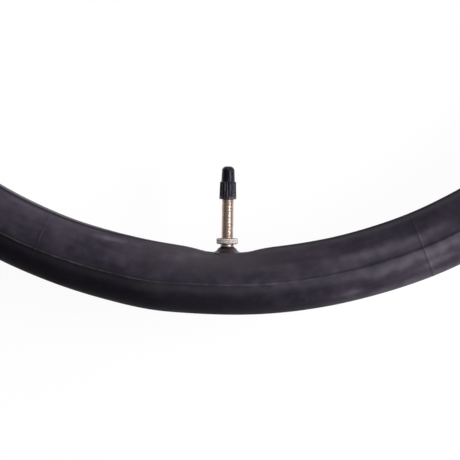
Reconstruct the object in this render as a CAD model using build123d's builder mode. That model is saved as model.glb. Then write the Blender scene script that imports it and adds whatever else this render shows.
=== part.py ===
"""Bicycle inner tube with a French valve: a lightly inflated rubber ring, its valve boot and
the valve with its core, lock nut and dust cap. Millimetres. The ring lies flat: its axis is +Z,
the origin is its centre, and the valve sits on the -Y side and points along +Y to the centre.
The valve's pieces are bodies of revolution about the Y axis, so each is drawn as a half section
on the XY plane, where x is the radius and y the place along the valve."""

from build123d import *
import os
from math import atan, degrees, sqrt

# ---------------------------------------------------------------- driving dimensions
# Tube
RING_RADIUS = 265.0  # ring axis to the middle of the tube's section
SECTION_RADIUS = 18.0  # outside of the lightly inflated section
TUBE_WALL = 0.9
REST_WIDTH = 7.0  # band under the ring that its weight presses flat
SADDLE_DEPTH = 3.4  # how far the tube is drawn in under the valve
SADDLE_RADIUS = 85.0  # curve of that hollow along the tube

# Valve boot, moulded rubber bonded on the saddle
BOOT_HEIGHT = 3.6  # saddle to the boot's lip
BOOT_LIP_WIDTH = 0.55  # lip beyond the collar
BOOT_CONE_RADIUS = 6.3  # where the cone meets the pad
BOOT_PAD_RISE = 0.8  # pad above the saddle beside the cone
BOOT_EDGE_RISE = 0.7  # pad above the saddle's lowest line at its edge
BOOT_PAD_MARGIN = 0.6  # pad edge to the side of the saddle
BOOT_FLARE_RADIUS = 2.0  # fillet between cone and pad
BOOT_LIP_FILLET = 0.25

# Stem, M6 x 0.8
STEM_THREAD_RADIUS = 3.0
STEM_THREAD_PITCH = 0.8
STEM_THREAD_DEPTH = 0.4
STEM_THREAD_LENGTH = 28.8
COLLAR_STEP = 0.2  # collar beyond the thread's crests, 6.4 mm across for a 6.5 mm rim hole
COLLAR_LENGTH = 1.5
NECK_RADIUS = 2.9  # stem inside the boot and through the tube's wall
FOOT_RADIUS = 4.4  # flange that the boot is moulded round
FOOT_THICKNESS = 1.0
FOOT_DEPTH = 1.7  # collar to flange
STEM_TAIL = 0.6  # how far the stem stands into the air space
STEM_WALL = 0.35  # between the thread's roots and the bore
STEM_OUTLET_RADIUS = 1.4
PIN_END_ROOM = 2.3  # from the pin, pressed right down, to the narrow outlet
STEM_CHAMFER = 0.3

# Lock nut
LOCK_NUT_RADIUS = 5.8
LOCK_NUT_HEIGHT = 3.1
LOCK_NUT_CHAMFER = 0.3
LOCK_NUT_GROOVE = 0.3  # half height and depth of the groove round its middle
LOCK_NUT_PARK_GAP = 0.3  # nut to cap when the nut is screwed right up

# Valve core
TIP_THREAD_RADIUS = 2.6  # 5.2 mm, 24 turns to the inch
TIP_THREAD_PITCH = 1.058
TIP_THREAD_DEPTH = 0.4
TIP_THREAD_LENGTH = 5.6
FLANGE_STEP = 0.15  # flange beyond the tip thread's crests
FLANGE_HEIGHT = 2.3
FLANGE_ACROSS_FLATS = 4.7  # for a spanner
SHANK_LENGTH = 4.4  # screwed into the stem
GASKET_HEIGHT = 1.2
GASKET_SECTION = 0.4  # from the neck of the core to the stem's bore
BARREL_GAP = 0.3  # barrel to the stem's bore
BARREL_LENGTH = 12.5
CORE_AIR_GAP = 0.2  # air passage beyond the pin's thread
GUIDE_LENGTH = 1.6  # close-fitting hole at the tip that guides the pin
SEAT_LIP_WIDTH = 0.3

# Valve pin, M2 x 0.4
PIN_THREAD_RADIUS = 1.0
PIN_THREAD_PITCH = 0.4
PIN_THREAD_DEPTH = 0.2
PIN_THREAD_LENGTH = 8.2
PIN_ACROSS_FLATS = 1.5
PIN_ROD_STEP = 0.25  # rod inside the thread's crests
PIN_HEAD_STEP = 0.5  # riveted head beyond the rod
PIN_HEAD_HEIGHT = 0.6
PIN_STANDOUT = 0.55  # pin end above its nut
PIN_TRAVEL = 2.0  # five turns of the pin nut
PIN_NUT_RADIUS = 2.0
PIN_NUT_HEIGHT = 2.7
PIN_NUT_CHAMFER = 0.3
SEAL_AIR_GAP = 0.45  # seal to the stem's bore
SEAL_HEIGHT = 1.3
RETAINER_AIR_GAP = 0.35
RETAINER_HEIGHT = 0.7

# Dust cap
CAP_COVER = 4.55  # how far it reaches down over the stem's thread
CAP_SKIRT_LENGTH = 9.4
CAP_SKIRT_WALL = 1.05
CAP_SKIRT_FLARE = 0.3  # skirt wider at its foot than at its shoulder
CAP_SHOULDER_RISE = 0.55
CAP_DOME_WALL = 0.95  # round the tip's thread
CAP_DOME_DRAFT = 0.2
CAP_DOME_FILLET = 2.4
CAP_ROOF = 1.7
CAP_RIBS = 20
CAP_FLUTE_RADIUS = 0.4
CAP_FLUTE_DEPTH = 0.28
CAP_HEM = 0.8  # plain ring below the ribs

# Clearances between pieces that move past each other
THREAD_CLEARANCE = 0.05
CAP_CLEARANCE = 0.3
NUT_FACE_GAP = 0.05

# ---------------------------------------------------------------- derived places
inner_radius = RING_RADIUS - SECTION_RADIUS
rest_depth = SECTION_RADIUS - sqrt(SECTION_RADIUS**2 - (REST_WIDTH / 2) ** 2)
saddle_half_width = sqrt(SECTION_RADIUS**2 - (SECTION_RADIUS - SADDLE_DEPTH) ** 2)
pad_radius = saddle_half_width - BOOT_PAD_MARGIN

stem_bore = STEM_THREAD_RADIUS - STEM_THREAD_DEPTH - STEM_WALL
collar_radius = STEM_THREAD_RADIUS + COLLAR_STEP
boot_lip_radius = collar_radius + BOOT_LIP_WIDTH
lock_nut_bore = STEM_THREAD_RADIUS + THREAD_CLEARANCE
flange_radius = TIP_THREAD_RADIUS + FLANGE_STEP
gasket_neck_radius = stem_bore - GASKET_SECTION
barrel_radius = stem_bore - BARREL_GAP
guide_radius = PIN_THREAD_RADIUS + THREAD_CLEARANCE
core_air_radius = PIN_THREAD_RADIUS + CORE_AIR_GAP
pin_rod_radius = PIN_THREAD_RADIUS - PIN_ROD_STEP
pin_head_radius = pin_rod_radius + PIN_HEAD_STEP
seal_radius = stem_bore - SEAL_AIR_GAP
retainer_radius = stem_bore - RETAINER_AIR_GAP
cap_mouth_radius = max(STEM_THREAD_RADIUS, flange_radius) + CAP_CLEARANCE
cap_flange_bore = flange_radius + CAP_CLEARANCE / 2
cap_thread_bore = TIP_THREAD_RADIUS + THREAD_CLEARANCE
cap_nut_bore = PIN_NUT_RADIUS + CAP_CLEARANCE
skirt_top_radius = cap_mouth_radius + CAP_SKIRT_WALL
skirt_foot_radius = skirt_top_radius + CAP_SKIRT_FLARE
dome_foot_radius = cap_thread_bore + CAP_DOME_WALL
dome_top_radius = dome_foot_radius - CAP_DOME_DRAFT

saddle_y = -(inner_radius + SADDLE_DEPTH)
boot_top_y = saddle_y + BOOT_HEIGHT
collar_top_y = boot_top_y + COLLAR_LENGTH
stem_top_y = collar_top_y + STEM_THREAD_LENGTH
foot_top_y = boot_top_y - FOOT_DEPTH
foot_low_y = foot_top_y - FOOT_THICKNESS
stem_low_y = saddle_y - TUBE_WALL - STEM_TAIL

flange_top_y = stem_top_y + FLANGE_HEIGHT
tip_y = flange_top_y + TIP_THREAD_LENGTH
gasket_top_y = stem_top_y - SHANK_LENGTH
gasket_low_y = gasket_top_y - GASKET_HEIGHT
seat_y = gasket_low_y - BARREL_LENGTH
retainer_top_y = seat_y - SEAL_HEIGHT
retainer_low_y = retainer_top_y - RETAINER_HEIGHT
pin_low_y = retainer_low_y - PIN_HEAD_HEIGHT
outlet_top_y = pin_low_y - PIN_TRAVEL - PIN_END_ROOM

pin_nut_low_y = tip_y + NUT_FACE_GAP
pin_nut_top_y = pin_nut_low_y + PIN_NUT_HEIGHT
pin_top_y = pin_nut_top_y + PIN_STANDOUT
pin_thread_low_y = pin_top_y - PIN_THREAD_LENGTH

cap_low_y = stem_top_y - CAP_COVER
cap_shoulder_y = cap_low_y + CAP_SKIRT_LENGTH
cap_dome_y = cap_shoulder_y + CAP_SHOULDER_RISE
cap_ceiling_y = pin_top_y + CAP_CLEARANCE + THREAD_CLEARANCE
cap_top_y = cap_ceiling_y + CAP_ROOF

lock_nut_low_y = collar_top_y
lock_nut_travel = cap_low_y - LOCK_NUT_PARK_GAP - (lock_nut_low_y + LOCK_NUT_HEIGHT)


# ---------------------------------------------------------------- shared shapes
def ring_with_saddle(shrink):
    """Closed ring with its rest band and its saddle, every face moved inwards by shrink."""
    radius = SECTION_RADIUS - shrink
    flat_z = rest_depth - SECTION_RADIUS + shrink
    with BuildPart() as ring:
        with BuildSketch(Plane.XZ):
            with Locations((RING_RADIUS, 0)):
                Circle(radius)
            with Locations((RING_RADIUS, flat_z)):
                Rectangle(2 * radius, radius, align=(Align.CENTER, Align.MAX), mode=Mode.SUBTRACT)
        revolve(axis=Axis.Z)
        with Locations((0, saddle_y + SADDLE_RADIUS, 0)):
            Cylinder(SADDLE_RADIUS + shrink, 2 * SECTION_RADIUS, mode=Mode.SUBTRACT)
    return ring.part


def notch_thread(crest_radius, depth, pitch, low_y, high_y):
    """Notch the half section being drawn with the grooves of a thread between two heights."""
    grooves = int((high_y - low_y) / pitch)
    half_mouth, half_root = 0.45 * pitch, 0.1 * pitch
    with Locations((crest_radius, (low_y + high_y) / 2)):
        with GridLocations(pitch, pitch, 1, grooves):
            Polygon(
                (0, -half_mouth),
                (0, half_mouth),
                (-depth, half_root),
                (-depth, -half_root),
                mode=Mode.SUBTRACT,
            )


# ---------------------------------------------------------------- tube
air_space = ring_with_saddle(TUBE_WALL)
with BuildPart() as tube:
    add(ring_with_saddle(0))
    add(air_space, mode=Mode.SUBTRACT)
    with BuildSketch(Plane.XZ.offset(TUBE_WALL / 2 - saddle_y)):
        Circle(NECK_RADIUS)
    extrude(amount=TUBE_WALL, both=True, mode=Mode.SUBTRACT)
tube.part.label = "tube"

# ---------------------------------------------------------------- valve boot
with BuildPart() as valve_boot:
    with BuildSketch(Plane.XY) as boot_section:
        Polygon(
            (NECK_RADIUS, boot_top_y),
            (boot_lip_radius, boot_top_y),
            (BOOT_CONE_RADIUS, saddle_y + BOOT_PAD_RISE),
            (pad_radius, saddle_y + BOOT_EDGE_RISE),
            (pad_radius, saddle_y),
            (NECK_RADIUS, saddle_y),
            (NECK_RADIUS, foot_low_y),
            (FOOT_RADIUS, foot_low_y),
            (FOOT_RADIUS, foot_top_y),
            (NECK_RADIUS, foot_top_y),
        )
        corners = boot_section.vertices()
        fillet(
            corners.sort_by_distance((BOOT_CONE_RADIUS, saddle_y + BOOT_PAD_RISE))[0],
            BOOT_FLARE_RADIUS,
        )
        fillet(corners.sort_by_distance((boot_lip_radius, boot_top_y))[0], BOOT_LIP_FILLET)
    revolve(axis=Axis.Y)
    with Locations((0, saddle_y + SADDLE_RADIUS, 0)):
        Cylinder(SADDLE_RADIUS, 2 * SECTION_RADIUS, mode=Mode.INTERSECT)
valve_boot.part.label = "valve_boot"

# ---------------------------------------------------------------- stem
with BuildPart() as stem:
    with BuildSketch(Plane.XY):
        Polygon(
            (stem_bore, stem_top_y),
            (STEM_THREAD_RADIUS - STEM_CHAMFER, stem_top_y),
            (STEM_THREAD_RADIUS, stem_top_y - STEM_CHAMFER),
            (STEM_THREAD_RADIUS, collar_top_y),
            (collar_radius, collar_top_y),
            (collar_radius, boot_top_y),
            (NECK_RADIUS, boot_top_y),
            (NECK_RADIUS, foot_top_y),
            (FOOT_RADIUS, foot_top_y),
            (FOOT_RADIUS, foot_low_y),
            (NECK_RADIUS, foot_low_y),
            (NECK_RADIUS, stem_low_y),
            (STEM_OUTLET_RADIUS, stem_low_y),
            (STEM_OUTLET_RADIUS, outlet_top_y),
            (stem_bore, outlet_top_y),
        )
        notch_thread(
            STEM_THREAD_RADIUS,
            STEM_THREAD_DEPTH,
            STEM_THREAD_PITCH,
            collar_top_y + STEM_THREAD_PITCH / 2,
            stem_top_y - STEM_CHAMFER,
        )
    revolve(axis=Axis.Y)
stem.part.label = "stem"

# ---------------------------------------------------------------- lock nut
lock_nut_high_y = lock_nut_low_y + LOCK_NUT_HEIGHT
with BuildPart() as lock_nut:
    with BuildSketch(Plane.XY):
        Polygon(
            (lock_nut_bore, lock_nut_low_y),
            (LOCK_NUT_RADIUS - LOCK_NUT_CHAMFER, lock_nut_low_y),
            (LOCK_NUT_RADIUS, lock_nut_low_y + LOCK_NUT_CHAMFER),
            (LOCK_NUT_RADIUS, lock_nut_high_y - LOCK_NUT_CHAMFER),
            (LOCK_NUT_RADIUS - LOCK_NUT_CHAMFER, lock_nut_high_y),
            (lock_nut_bore, lock_nut_high_y),
        )
        with Locations((LOCK_NUT_RADIUS, (lock_nut_low_y + lock_nut_high_y) / 2)):
            Polygon(
                (0, -LOCK_NUT_GROOVE),
                (0, LOCK_NUT_GROOVE),
                (-LOCK_NUT_GROOVE, 0),
                mode=Mode.SUBTRACT,
            )
    revolve(axis=Axis.Y)
lock_nut.part.label = "lock_nut"

# ---------------------------------------------------------------- valve core
with BuildPart() as core_body:
    with BuildSketch(Plane.XY):
        Polygon(
            (guide_radius, tip_y),
            (TIP_THREAD_RADIUS, tip_y),
            (TIP_THREAD_RADIUS, flange_top_y),
            (flange_radius, flange_top_y),
            (flange_radius, stem_top_y),
            (stem_bore, stem_top_y),
            (stem_bore, gasket_top_y),
            (gasket_neck_radius, gasket_top_y),
            (gasket_neck_radius, gasket_low_y),
            (barrel_radius, gasket_low_y),
            (barrel_radius, seat_y + SEAT_LIP_WIDTH),
            (core_air_radius + SEAT_LIP_WIDTH, seat_y),
            (core_air_radius, seat_y),
            (core_air_radius, tip_y - GUIDE_LENGTH),
            (guide_radius, tip_y - GUIDE_LENGTH),
        )
        notch_thread(
            TIP_THREAD_RADIUS,
            TIP_THREAD_DEPTH,
            TIP_THREAD_PITCH,
            flange_top_y,
            tip_y,
        )
    revolve(axis=Axis.Y)
    with BuildSketch(Plane.XZ.offset(-stem_top_y)):
        Circle(flange_radius)
        Rectangle(2 * flange_radius, FLANGE_ACROSS_FLATS, mode=Mode.SUBTRACT)
    extrude(amount=-FLANGE_HEIGHT, mode=Mode.SUBTRACT)
core_body.part.label = "core_body"

with BuildPart() as core_gasket:
    with BuildSketch(Plane.XZ.offset(-gasket_low_y)):
        Circle(stem_bore)
        Circle(gasket_neck_radius, mode=Mode.SUBTRACT)
    extrude(amount=-GASKET_HEIGHT)
core_gasket.part.label = "core_gasket"

# ---------------------------------------------------------------- valve pin
with BuildPart() as core_pin:
    with BuildSketch(Plane.XY):
        Polygon(
            (0, pin_top_y),
            (PIN_THREAD_RADIUS - PIN_THREAD_DEPTH, pin_top_y),
            (PIN_THREAD_RADIUS, pin_top_y - PIN_THREAD_DEPTH),
            (PIN_THREAD_RADIUS, pin_thread_low_y),
            (pin_rod_radius, pin_thread_low_y),
            (pin_rod_radius, retainer_low_y),
            (pin_head_radius, retainer_low_y),
            (pin_head_radius, pin_low_y),
            (0, pin_low_y),
        )
        notch_thread(
            PIN_THREAD_RADIUS,
            PIN_THREAD_DEPTH,
            PIN_THREAD_PITCH,
            pin_thread_low_y,
            pin_top_y - PIN_THREAD_DEPTH,
        )
    revolve(axis=Axis.Y)
    with BuildSketch(Plane.XZ.offset(-pin_thread_low_y)):
        Circle(PIN_THREAD_RADIUS)
        Rectangle(2 * PIN_THREAD_RADIUS, PIN_ACROSS_FLATS, mode=Mode.SUBTRACT)
    extrude(amount=-PIN_THREAD_LENGTH, mode=Mode.SUBTRACT)
core_pin.part.label = "core_pin"

with BuildPart() as pin_nut:
    with BuildSketch(Plane.XZ.offset(-pin_nut_low_y)):
        Circle(PIN_NUT_RADIUS)
    extrude(amount=-PIN_NUT_HEIGHT)
    chamfer(pin_nut.edges().filter_by(GeomType.CIRCLE), PIN_NUT_CHAMFER)
    with Locations(Plane.XZ.offset(-pin_nut_low_y)):
        Cylinder(guide_radius, 2 * PIN_NUT_HEIGHT + NUT_FACE_GAP, mode=Mode.SUBTRACT)
pin_nut.part.label = "pin_nut"

with BuildPart() as seat_seal:
    with BuildSketch(Plane.XZ.offset(-retainer_top_y)):
        Circle(seal_radius)
        Circle(pin_rod_radius, mode=Mode.SUBTRACT)
    extrude(amount=-SEAL_HEIGHT)
seat_seal.part.label = "seat_seal"

with BuildPart() as seal_retainer:
    with BuildSketch(Plane.XZ.offset(-retainer_low_y)):
        Circle(retainer_radius)
        Circle(pin_rod_radius, mode=Mode.SUBTRACT)
    extrude(amount=-RETAINER_HEIGHT)
seal_retainer.part.label = "seal_retainer"

# ---------------------------------------------------------------- dust cap
skirt_lean = degrees(atan(CAP_SKIRT_FLARE / CAP_SKIRT_LENGTH))
flute_centre_radius = skirt_foot_radius + CAP_FLUTE_RADIUS - CAP_FLUTE_DEPTH
with BuildPart() as cap:
    with BuildSketch(Plane.XY) as cap_section:
        Polygon(
            (0, cap_top_y),
            (dome_top_radius, cap_top_y),
            (dome_foot_radius, cap_dome_y),
            (skirt_top_radius, cap_shoulder_y),
            (skirt_foot_radius, cap_low_y),
            (cap_mouth_radius, cap_low_y),
            (cap_mouth_radius, stem_top_y + CAP_CLEARANCE),
            (cap_flange_bore, stem_top_y + CAP_CLEARANCE),
            (cap_flange_bore, flange_top_y + CAP_CLEARANCE),
            (cap_thread_bore, flange_top_y + CAP_CLEARANCE),
            (cap_thread_bore, tip_y),
            (cap_nut_bore, tip_y + CAP_CLEARANCE),
            (cap_nut_bore, cap_ceiling_y),
            (0, cap_ceiling_y),
        )
        fillet(
            cap_section.vertices().sort_by_distance((dome_top_radius, cap_top_y))[0],
            CAP_DOME_FILLET,
        )
    revolve(axis=Axis.Y)
    with Locations(Plane.XZ.offset(-(cap_low_y + CAP_HEM))):
        with PolarLocations(flute_centre_radius, CAP_RIBS):
            with Locations(Location((0, 0, 0), (0, skirt_lean, 0))):
                Cylinder(
                    CAP_FLUTE_RADIUS,
                    CAP_SKIRT_LENGTH,
                    align=(Align.CENTER, Align.CENTER, Align.MAX),
                    mode=Mode.SUBTRACT,
                )
cap.part.label = "cap"

# ---------------------------------------------------------------- written files
os.makedirs("parts", exist_ok=True)
pieces = [
    tube,
    valve_boot,
    stem,
    lock_nut,
    core_body,
    core_gasket,
    core_pin,
    pin_nut,
    seat_seal,
    seal_retainer,
    cap,
]
for piece in pieces:
    export_step(piece.part, f"parts/{piece.part.label}.step")
    print(piece.part.label, round(piece.part.volume, 1), piece.part.bounding_box().size)
print("lock nut travel", round(lock_nut_travel, 3))
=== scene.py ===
"""Bicycle inner tube with a French valve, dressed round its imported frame.

Metres, in the frame's own axes: the ring lies flat, its axis is +Z, and the valve on its -Y side
points along +Y to the ring's centre. Each sub-assembly is a class that holds its sizes and builds
its meshes, each finish is a frozen dataclass, and main() builds them in order.
"""

import logging
import math
from contextlib import contextmanager
from dataclasses import dataclass
from enum import Enum
from typing import Callable, Iterator, Sequence

import bmesh
import bpy
import numpy as np
from mathutils import Matrix, Vector


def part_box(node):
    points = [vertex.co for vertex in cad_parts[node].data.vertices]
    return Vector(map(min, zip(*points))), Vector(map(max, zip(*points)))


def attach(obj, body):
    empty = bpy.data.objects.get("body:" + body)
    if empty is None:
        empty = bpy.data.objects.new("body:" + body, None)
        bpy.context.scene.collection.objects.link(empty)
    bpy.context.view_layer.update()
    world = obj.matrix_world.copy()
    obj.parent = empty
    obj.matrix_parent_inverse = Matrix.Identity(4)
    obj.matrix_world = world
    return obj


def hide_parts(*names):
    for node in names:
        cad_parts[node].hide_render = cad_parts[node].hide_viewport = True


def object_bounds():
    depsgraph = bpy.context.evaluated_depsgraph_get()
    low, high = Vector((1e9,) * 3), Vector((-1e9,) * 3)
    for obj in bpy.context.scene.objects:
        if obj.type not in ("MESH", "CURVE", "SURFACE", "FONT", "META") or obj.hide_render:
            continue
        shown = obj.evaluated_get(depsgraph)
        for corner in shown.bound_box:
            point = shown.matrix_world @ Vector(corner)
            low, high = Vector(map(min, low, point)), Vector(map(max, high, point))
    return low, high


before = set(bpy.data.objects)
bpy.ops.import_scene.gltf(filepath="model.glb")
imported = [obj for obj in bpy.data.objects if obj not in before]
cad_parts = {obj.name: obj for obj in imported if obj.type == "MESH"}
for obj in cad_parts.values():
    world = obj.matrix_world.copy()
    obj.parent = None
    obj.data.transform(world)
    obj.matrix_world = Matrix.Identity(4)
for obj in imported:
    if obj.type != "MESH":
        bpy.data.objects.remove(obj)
CAD_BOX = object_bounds()

MM = 0.001
TURN = 2 * math.pi
VALVE_AXIS = (0.0, 1.0, 0.0)
log = logging.getLogger("inner_tube")

Outline = Sequence[tuple[float, float]]


# ------------------------------------------------------------------ modelling by operators
class Cut(Enum):
    """How one solid shapes another."""

    REMOVE = "DIFFERENCE"
    KEEP_COMMON = "INTERSECT"
    WELD = "UNION"


def only(piece: bpy.types.Object) -> None:
    """Select one piece alone and make it the active one.

    Args:
        piece: the object that the next operator acts on.
    """
    bpy.ops.object.select_all(action="DESELECT")
    piece.select_set(True)
    bpy.context.view_layer.objects.active = piece


@contextmanager
def editing(piece: bpy.types.Object, mode: str = "VERT") -> Iterator[bmesh.types.BMesh]:
    """Open a piece in edit mode with nothing selected, and leave edit mode at the end.

    Args:
        piece: the mesh object to edit.
        mode: VERT, EDGE or FACE, the kind of element that operators act on.

    Yields:
        The edit mesh, for selecting elements by their place.
    """
    only(piece)
    bpy.ops.object.mode_set(mode="EDIT")
    bpy.ops.mesh.select_mode(type=mode)
    bpy.ops.mesh.select_all(action="DESELECT")
    yield bmesh.from_edit_mesh(piece.data)
    bpy.ops.object.mode_set(mode="OBJECT")


def pick_vertices(piece: bpy.types.Object, test: Callable[[Vector], bool]) -> None:
    """Select the vertices of a piece in edit mode whose place passes a test.

    Args:
        piece: the mesh object in edit mode.
        test: says whether a place is wanted.
    """
    mesh = bmesh.from_edit_mesh(piece.data)
    for vertex in mesh.verts:
        vertex.select_set(test(vertex.co))
    mesh.select_flush_mode()
    bmesh.update_edit_mesh(piece.data)


def pick_edges(piece: bpy.types.Object, test: Callable[[Vector, Vector], bool]) -> None:
    """Select the edges of a piece in edit mode whose two ends pass a test.

    Args:
        piece: the mesh object in edit mode.
        test: says whether an edge between two places is wanted.
    """
    mesh = bmesh.from_edit_mesh(piece.data)
    for edge in mesh.edges:
        edge.select_set(test(edge.verts[0].co, edge.verts[1].co))
    bmesh.update_edit_mesh(piece.data)


def added(name: str) -> bpy.types.Object:
    """Name the object that an operator has just added.

    Args:
        name: the piece's name.

    Returns:
        The object, with its mesh under the same name.
    """
    piece = bpy.context.active_object
    piece.name = piece.data.name = name
    return piece


def settle(piece: bpy.types.Object) -> None:
    """Put a piece's place into its mesh, so that its object sits at the origin.

    Args:
        piece: the object to settle.
    """
    only(piece)
    bpy.ops.object.transform_apply(location=True, rotation=True, scale=True)


def clean(piece: bpy.types.Object, gap: float = 1e-6) -> None:
    """Merge a piece's doubled vertices and turn its faces outwards.

    Args:
        piece: the mesh object to clean.
        gap: vertices nearer than this become one.
    """
    with editing(piece):
        bpy.ops.mesh.select_all(action="SELECT")
        bpy.ops.mesh.remove_doubles(threshold=gap)
        bpy.ops.mesh.normals_make_consistent(inside=False)


def smooth(piece: bpy.types.Object, degrees: float = 30) -> None:
    """Shade a piece smooth, with creases at its sharper edges.

    Args:
        piece: the mesh object to shade.
        degrees: edges that turn more than this stay sharp.
    """
    only(piece)
    bpy.ops.object.shade_smooth_by_angle(angle=math.radians(degrees))


def drawn(name: str, outline: Outline) -> bpy.types.Object:
    """Draw an outline of straight runs beside the valve's axis, vertex by vertex.

    Args:
        name: the new object's name.
        outline: (radius, y) of each corner in turn.

    Returns:
        An object that holds the outline as edges.
    """
    bpy.ops.object.select_all(action="DESELECT")
    radius, y = outline[0]
    bpy.ops.mesh.primitive_plane_add(size=MM, location=(radius, y, 0))
    wire = added(name)
    settle(wire)
    with editing(wire):
        bpy.ops.mesh.select_all(action="SELECT")
        bpy.ops.mesh.merge(type="CENTER")
        for (r0, y0), (r1, y1) in zip(outline, outline[1:]):
            bpy.ops.mesh.extrude_vertices_move(
                TRANSFORM_OT_translate={"value": (r1 - r0, y1 - y0, 0)}
            )
    return wire


def turned(name: str, outline: Outline, segments: int = 96) -> bpy.types.Object:
    """Turn a closed solid on the valve's axis.

    Args:
        name: the piece's name.
        outline: (radius, y) of each corner. It starts and ends on the axis, or closes on itself.
        segments: faces round the axis.

    Returns:
        The turned piece, its faces outwards.
    """
    solid = drawn(name, outline)
    with editing(solid):
        bpy.ops.mesh.select_all(action="SELECT")
        bpy.ops.mesh.spin(steps=segments, angle=TURN, center=(0, 0, 0), axis=VALVE_AXIS)
    clean(solid)
    return solid


def ring_at(radius: float, y: float, slack: float = 0.02 * MM) -> Callable[[Vector, Vector], bool]:
    """Make a test for the edges of one circle round the valve's axis.

    Args:
        radius: the circle's radius.
        y: its place along the axis.
        slack: how far off an edge's ends may be.

    Returns:
        A test for pick_edges.
    """

    def on_ring(place: Vector) -> bool:
        """Say whether a place is on the circle."""
        return abs(math.hypot(place.x, place.z) - radius) < slack and abs(place.y - y) < slack

    return lambda start, end: on_ring(start) and on_ring(end)


def round_rings(piece: bpy.types.Object, rings: Outline, width: float, segments: int = 3) -> None:
    """Round the edges that run in circles round the valve's axis.

    Args:
        piece: the turned piece.
        rings: (radius, y) of each circle.
        width: the bevel's width.
        segments: faces across each bevel.
    """
    for radius, y in rings:
        with editing(piece, "EDGE"):
            pick_edges(piece, ring_at(radius, y))
            bpy.ops.mesh.bevel(offset=width, segments=segments, affect="EDGES")


def shape(piece: bpy.types.Object, tool: bpy.types.Object, how: Cut) -> None:
    """Cut, trim or weld a piece with another solid, which is used up.

    Args:
        piece: the solid that stays.
        tool: the solid that shapes it.
        how: what the tool does.
    """
    only(piece)
    change = piece.modifiers.new("shape", "BOOLEAN")
    change.operation, change.object, change.solver = how.value, tool, "EXACT"
    bpy.ops.object.modifier_apply(modifier=change.name)
    bpy.data.objects.remove(tool)


def slab(name: str, low: float, high: float, width: float, thickness: float) -> bpy.types.Object:
    """Model the slab that leaves two flats on a round piece where it is kept in common.

    Args:
        name: the slab's name.
        low: where the piece starts along the valve's axis.
        high: where it ends.
        width: the slab's width, more than the piece's own.
        thickness: the distance from flat to flat.

    Returns:
        The slab, longer than the piece at both ends.
    """
    middle = (0, (low + high) / 2, 0)
    bpy.ops.object.select_all(action="DESELECT")
    bpy.ops.mesh.primitive_cube_add(size=1, location=middle)
    jaws = added(name)
    with editing(jaws):
        bpy.ops.mesh.select_all(action="SELECT")
        bpy.ops.transform.resize(
            value=(width, high - low + 4 * MM, thickness), center_override=middle
        )
    settle(jaws)
    return jaws


def vertex_places(piece: bpy.types.Object) -> np.ndarray:
    """Read a piece's vertices.

    Args:
        piece: the mesh object.

    Returns:
        Its x, y and z, a row each.
    """
    flat = np.empty(len(piece.data.vertices) * 3)
    piece.data.vertices.foreach_get("co", flat)
    return flat.reshape(-1, 3).T


def place_vertices(piece: bpy.types.Object, *places: np.ndarray) -> None:
    """Move a piece's vertices.

    Args:
        piece: the mesh object.
        places: their new x, y and z.
    """
    piece.data.vertices.foreach_set("co", np.column_stack(places).ravel())
    piece.data.update()


def hump(value: np.ndarray, middle: float, reach: float) -> np.ndarray:
    """Give a smooth hump, one at its middle and nothing far from it.

    Args:
        value: where to look.
        middle: where the hump is highest.
        reach: how far from there it has dropped to about a third.

    Returns:
        The hump's height.
    """
    return np.exp(-(((value - middle) / reach) ** 2))


def step_up(value: np.ndarray, middle: float, reach: float) -> np.ndarray:
    """Rise smoothly from nothing to one.

    Args:
        value: where to look.
        middle: where the rise is half way.
        reach: half the length of the rise.

    Returns:
        The height.
    """
    return 0.5 + 0.5 * np.tanh((value - middle) / reach)


@dataclass(frozen=True)
class Thread:
    """A right-hand thread about the valve's axis.

    The profile gives each corner of one turn's groove: how far it is from the root to the crest,
    and how far along the turn.
    """

    crest: float
    depth: float
    pitch: float
    facets: int = 48
    profile: Outline = ((0, 0), (0, 0.08), (1, 0.3), (1, 0.78), (0, 1))

    def rod(self, name: str, low: float, high: float) -> bpy.types.Object:
        """Model a solid rod with this thread, cut square at both ends.

        Args:
            name: the rod's name.
            low: where it starts along the axis.
            high: where it ends.

        Returns:
            The threaded rod.
        """
        root, pitch = self.crest - self.depth, self.pitch
        start = low - 1.5 * pitch
        rod = drawn(
            name,
            [(self.crest if out else root, start + along * pitch) for out, along in self.profile],
        )
        only(rod)
        helix = rod.modifiers.new("helix", "SCREW")
        helix.axis, helix.angle, helix.screw_offset = "Y", TURN, pitch
        helix.iterations = math.ceil((high - low) / pitch) + 3
        helix.steps = helix.render_steps = self.facets
        helix.use_merge_vertices = True
        bpy.ops.object.modifier_apply(modifier=helix.name)
        clean(rod)
        with editing(rod):
            bpy.ops.mesh.select_all(action="SELECT")
            bpy.ops.mesh.fill_holes(sides=0)
        clean(rod)
        reach = self.crest + MM
        length = turned("rod_length", ((0, low), (reach, low), (reach, high), (0, high)), 16)
        shape(rod, length, Cut.KEEP_COMMON)
        return rod


# ------------------------------------------------------------------ finishes
def linear(colour: str) -> tuple[float, float, float, float]:
    """Turn an sRGB colour to the linear light that shaders work in.

    Args:
        colour: six hex digits after a hash, such as "#3a363f".

    Returns:
        Red, green and blue, and an alpha of one.
    """
    shares = [int(colour[at : at + 2], 16) / 255 for at in (1, 3, 5)]
    red, green, blue = (
        s / 12.92 if s <= 0.04045 else ((s + 0.055) / 1.055) ** 2.4 for s in shares
    )
    return (red, green, blue, 1.0)


def per_metre(size: float) -> float:
    """Work out a pattern's scale from the real size of its grain.

    Args:
        size: the grain's size in metres.

    Returns:
        The scale for Object coordinates in metres.
    """
    return 1 / size


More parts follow.
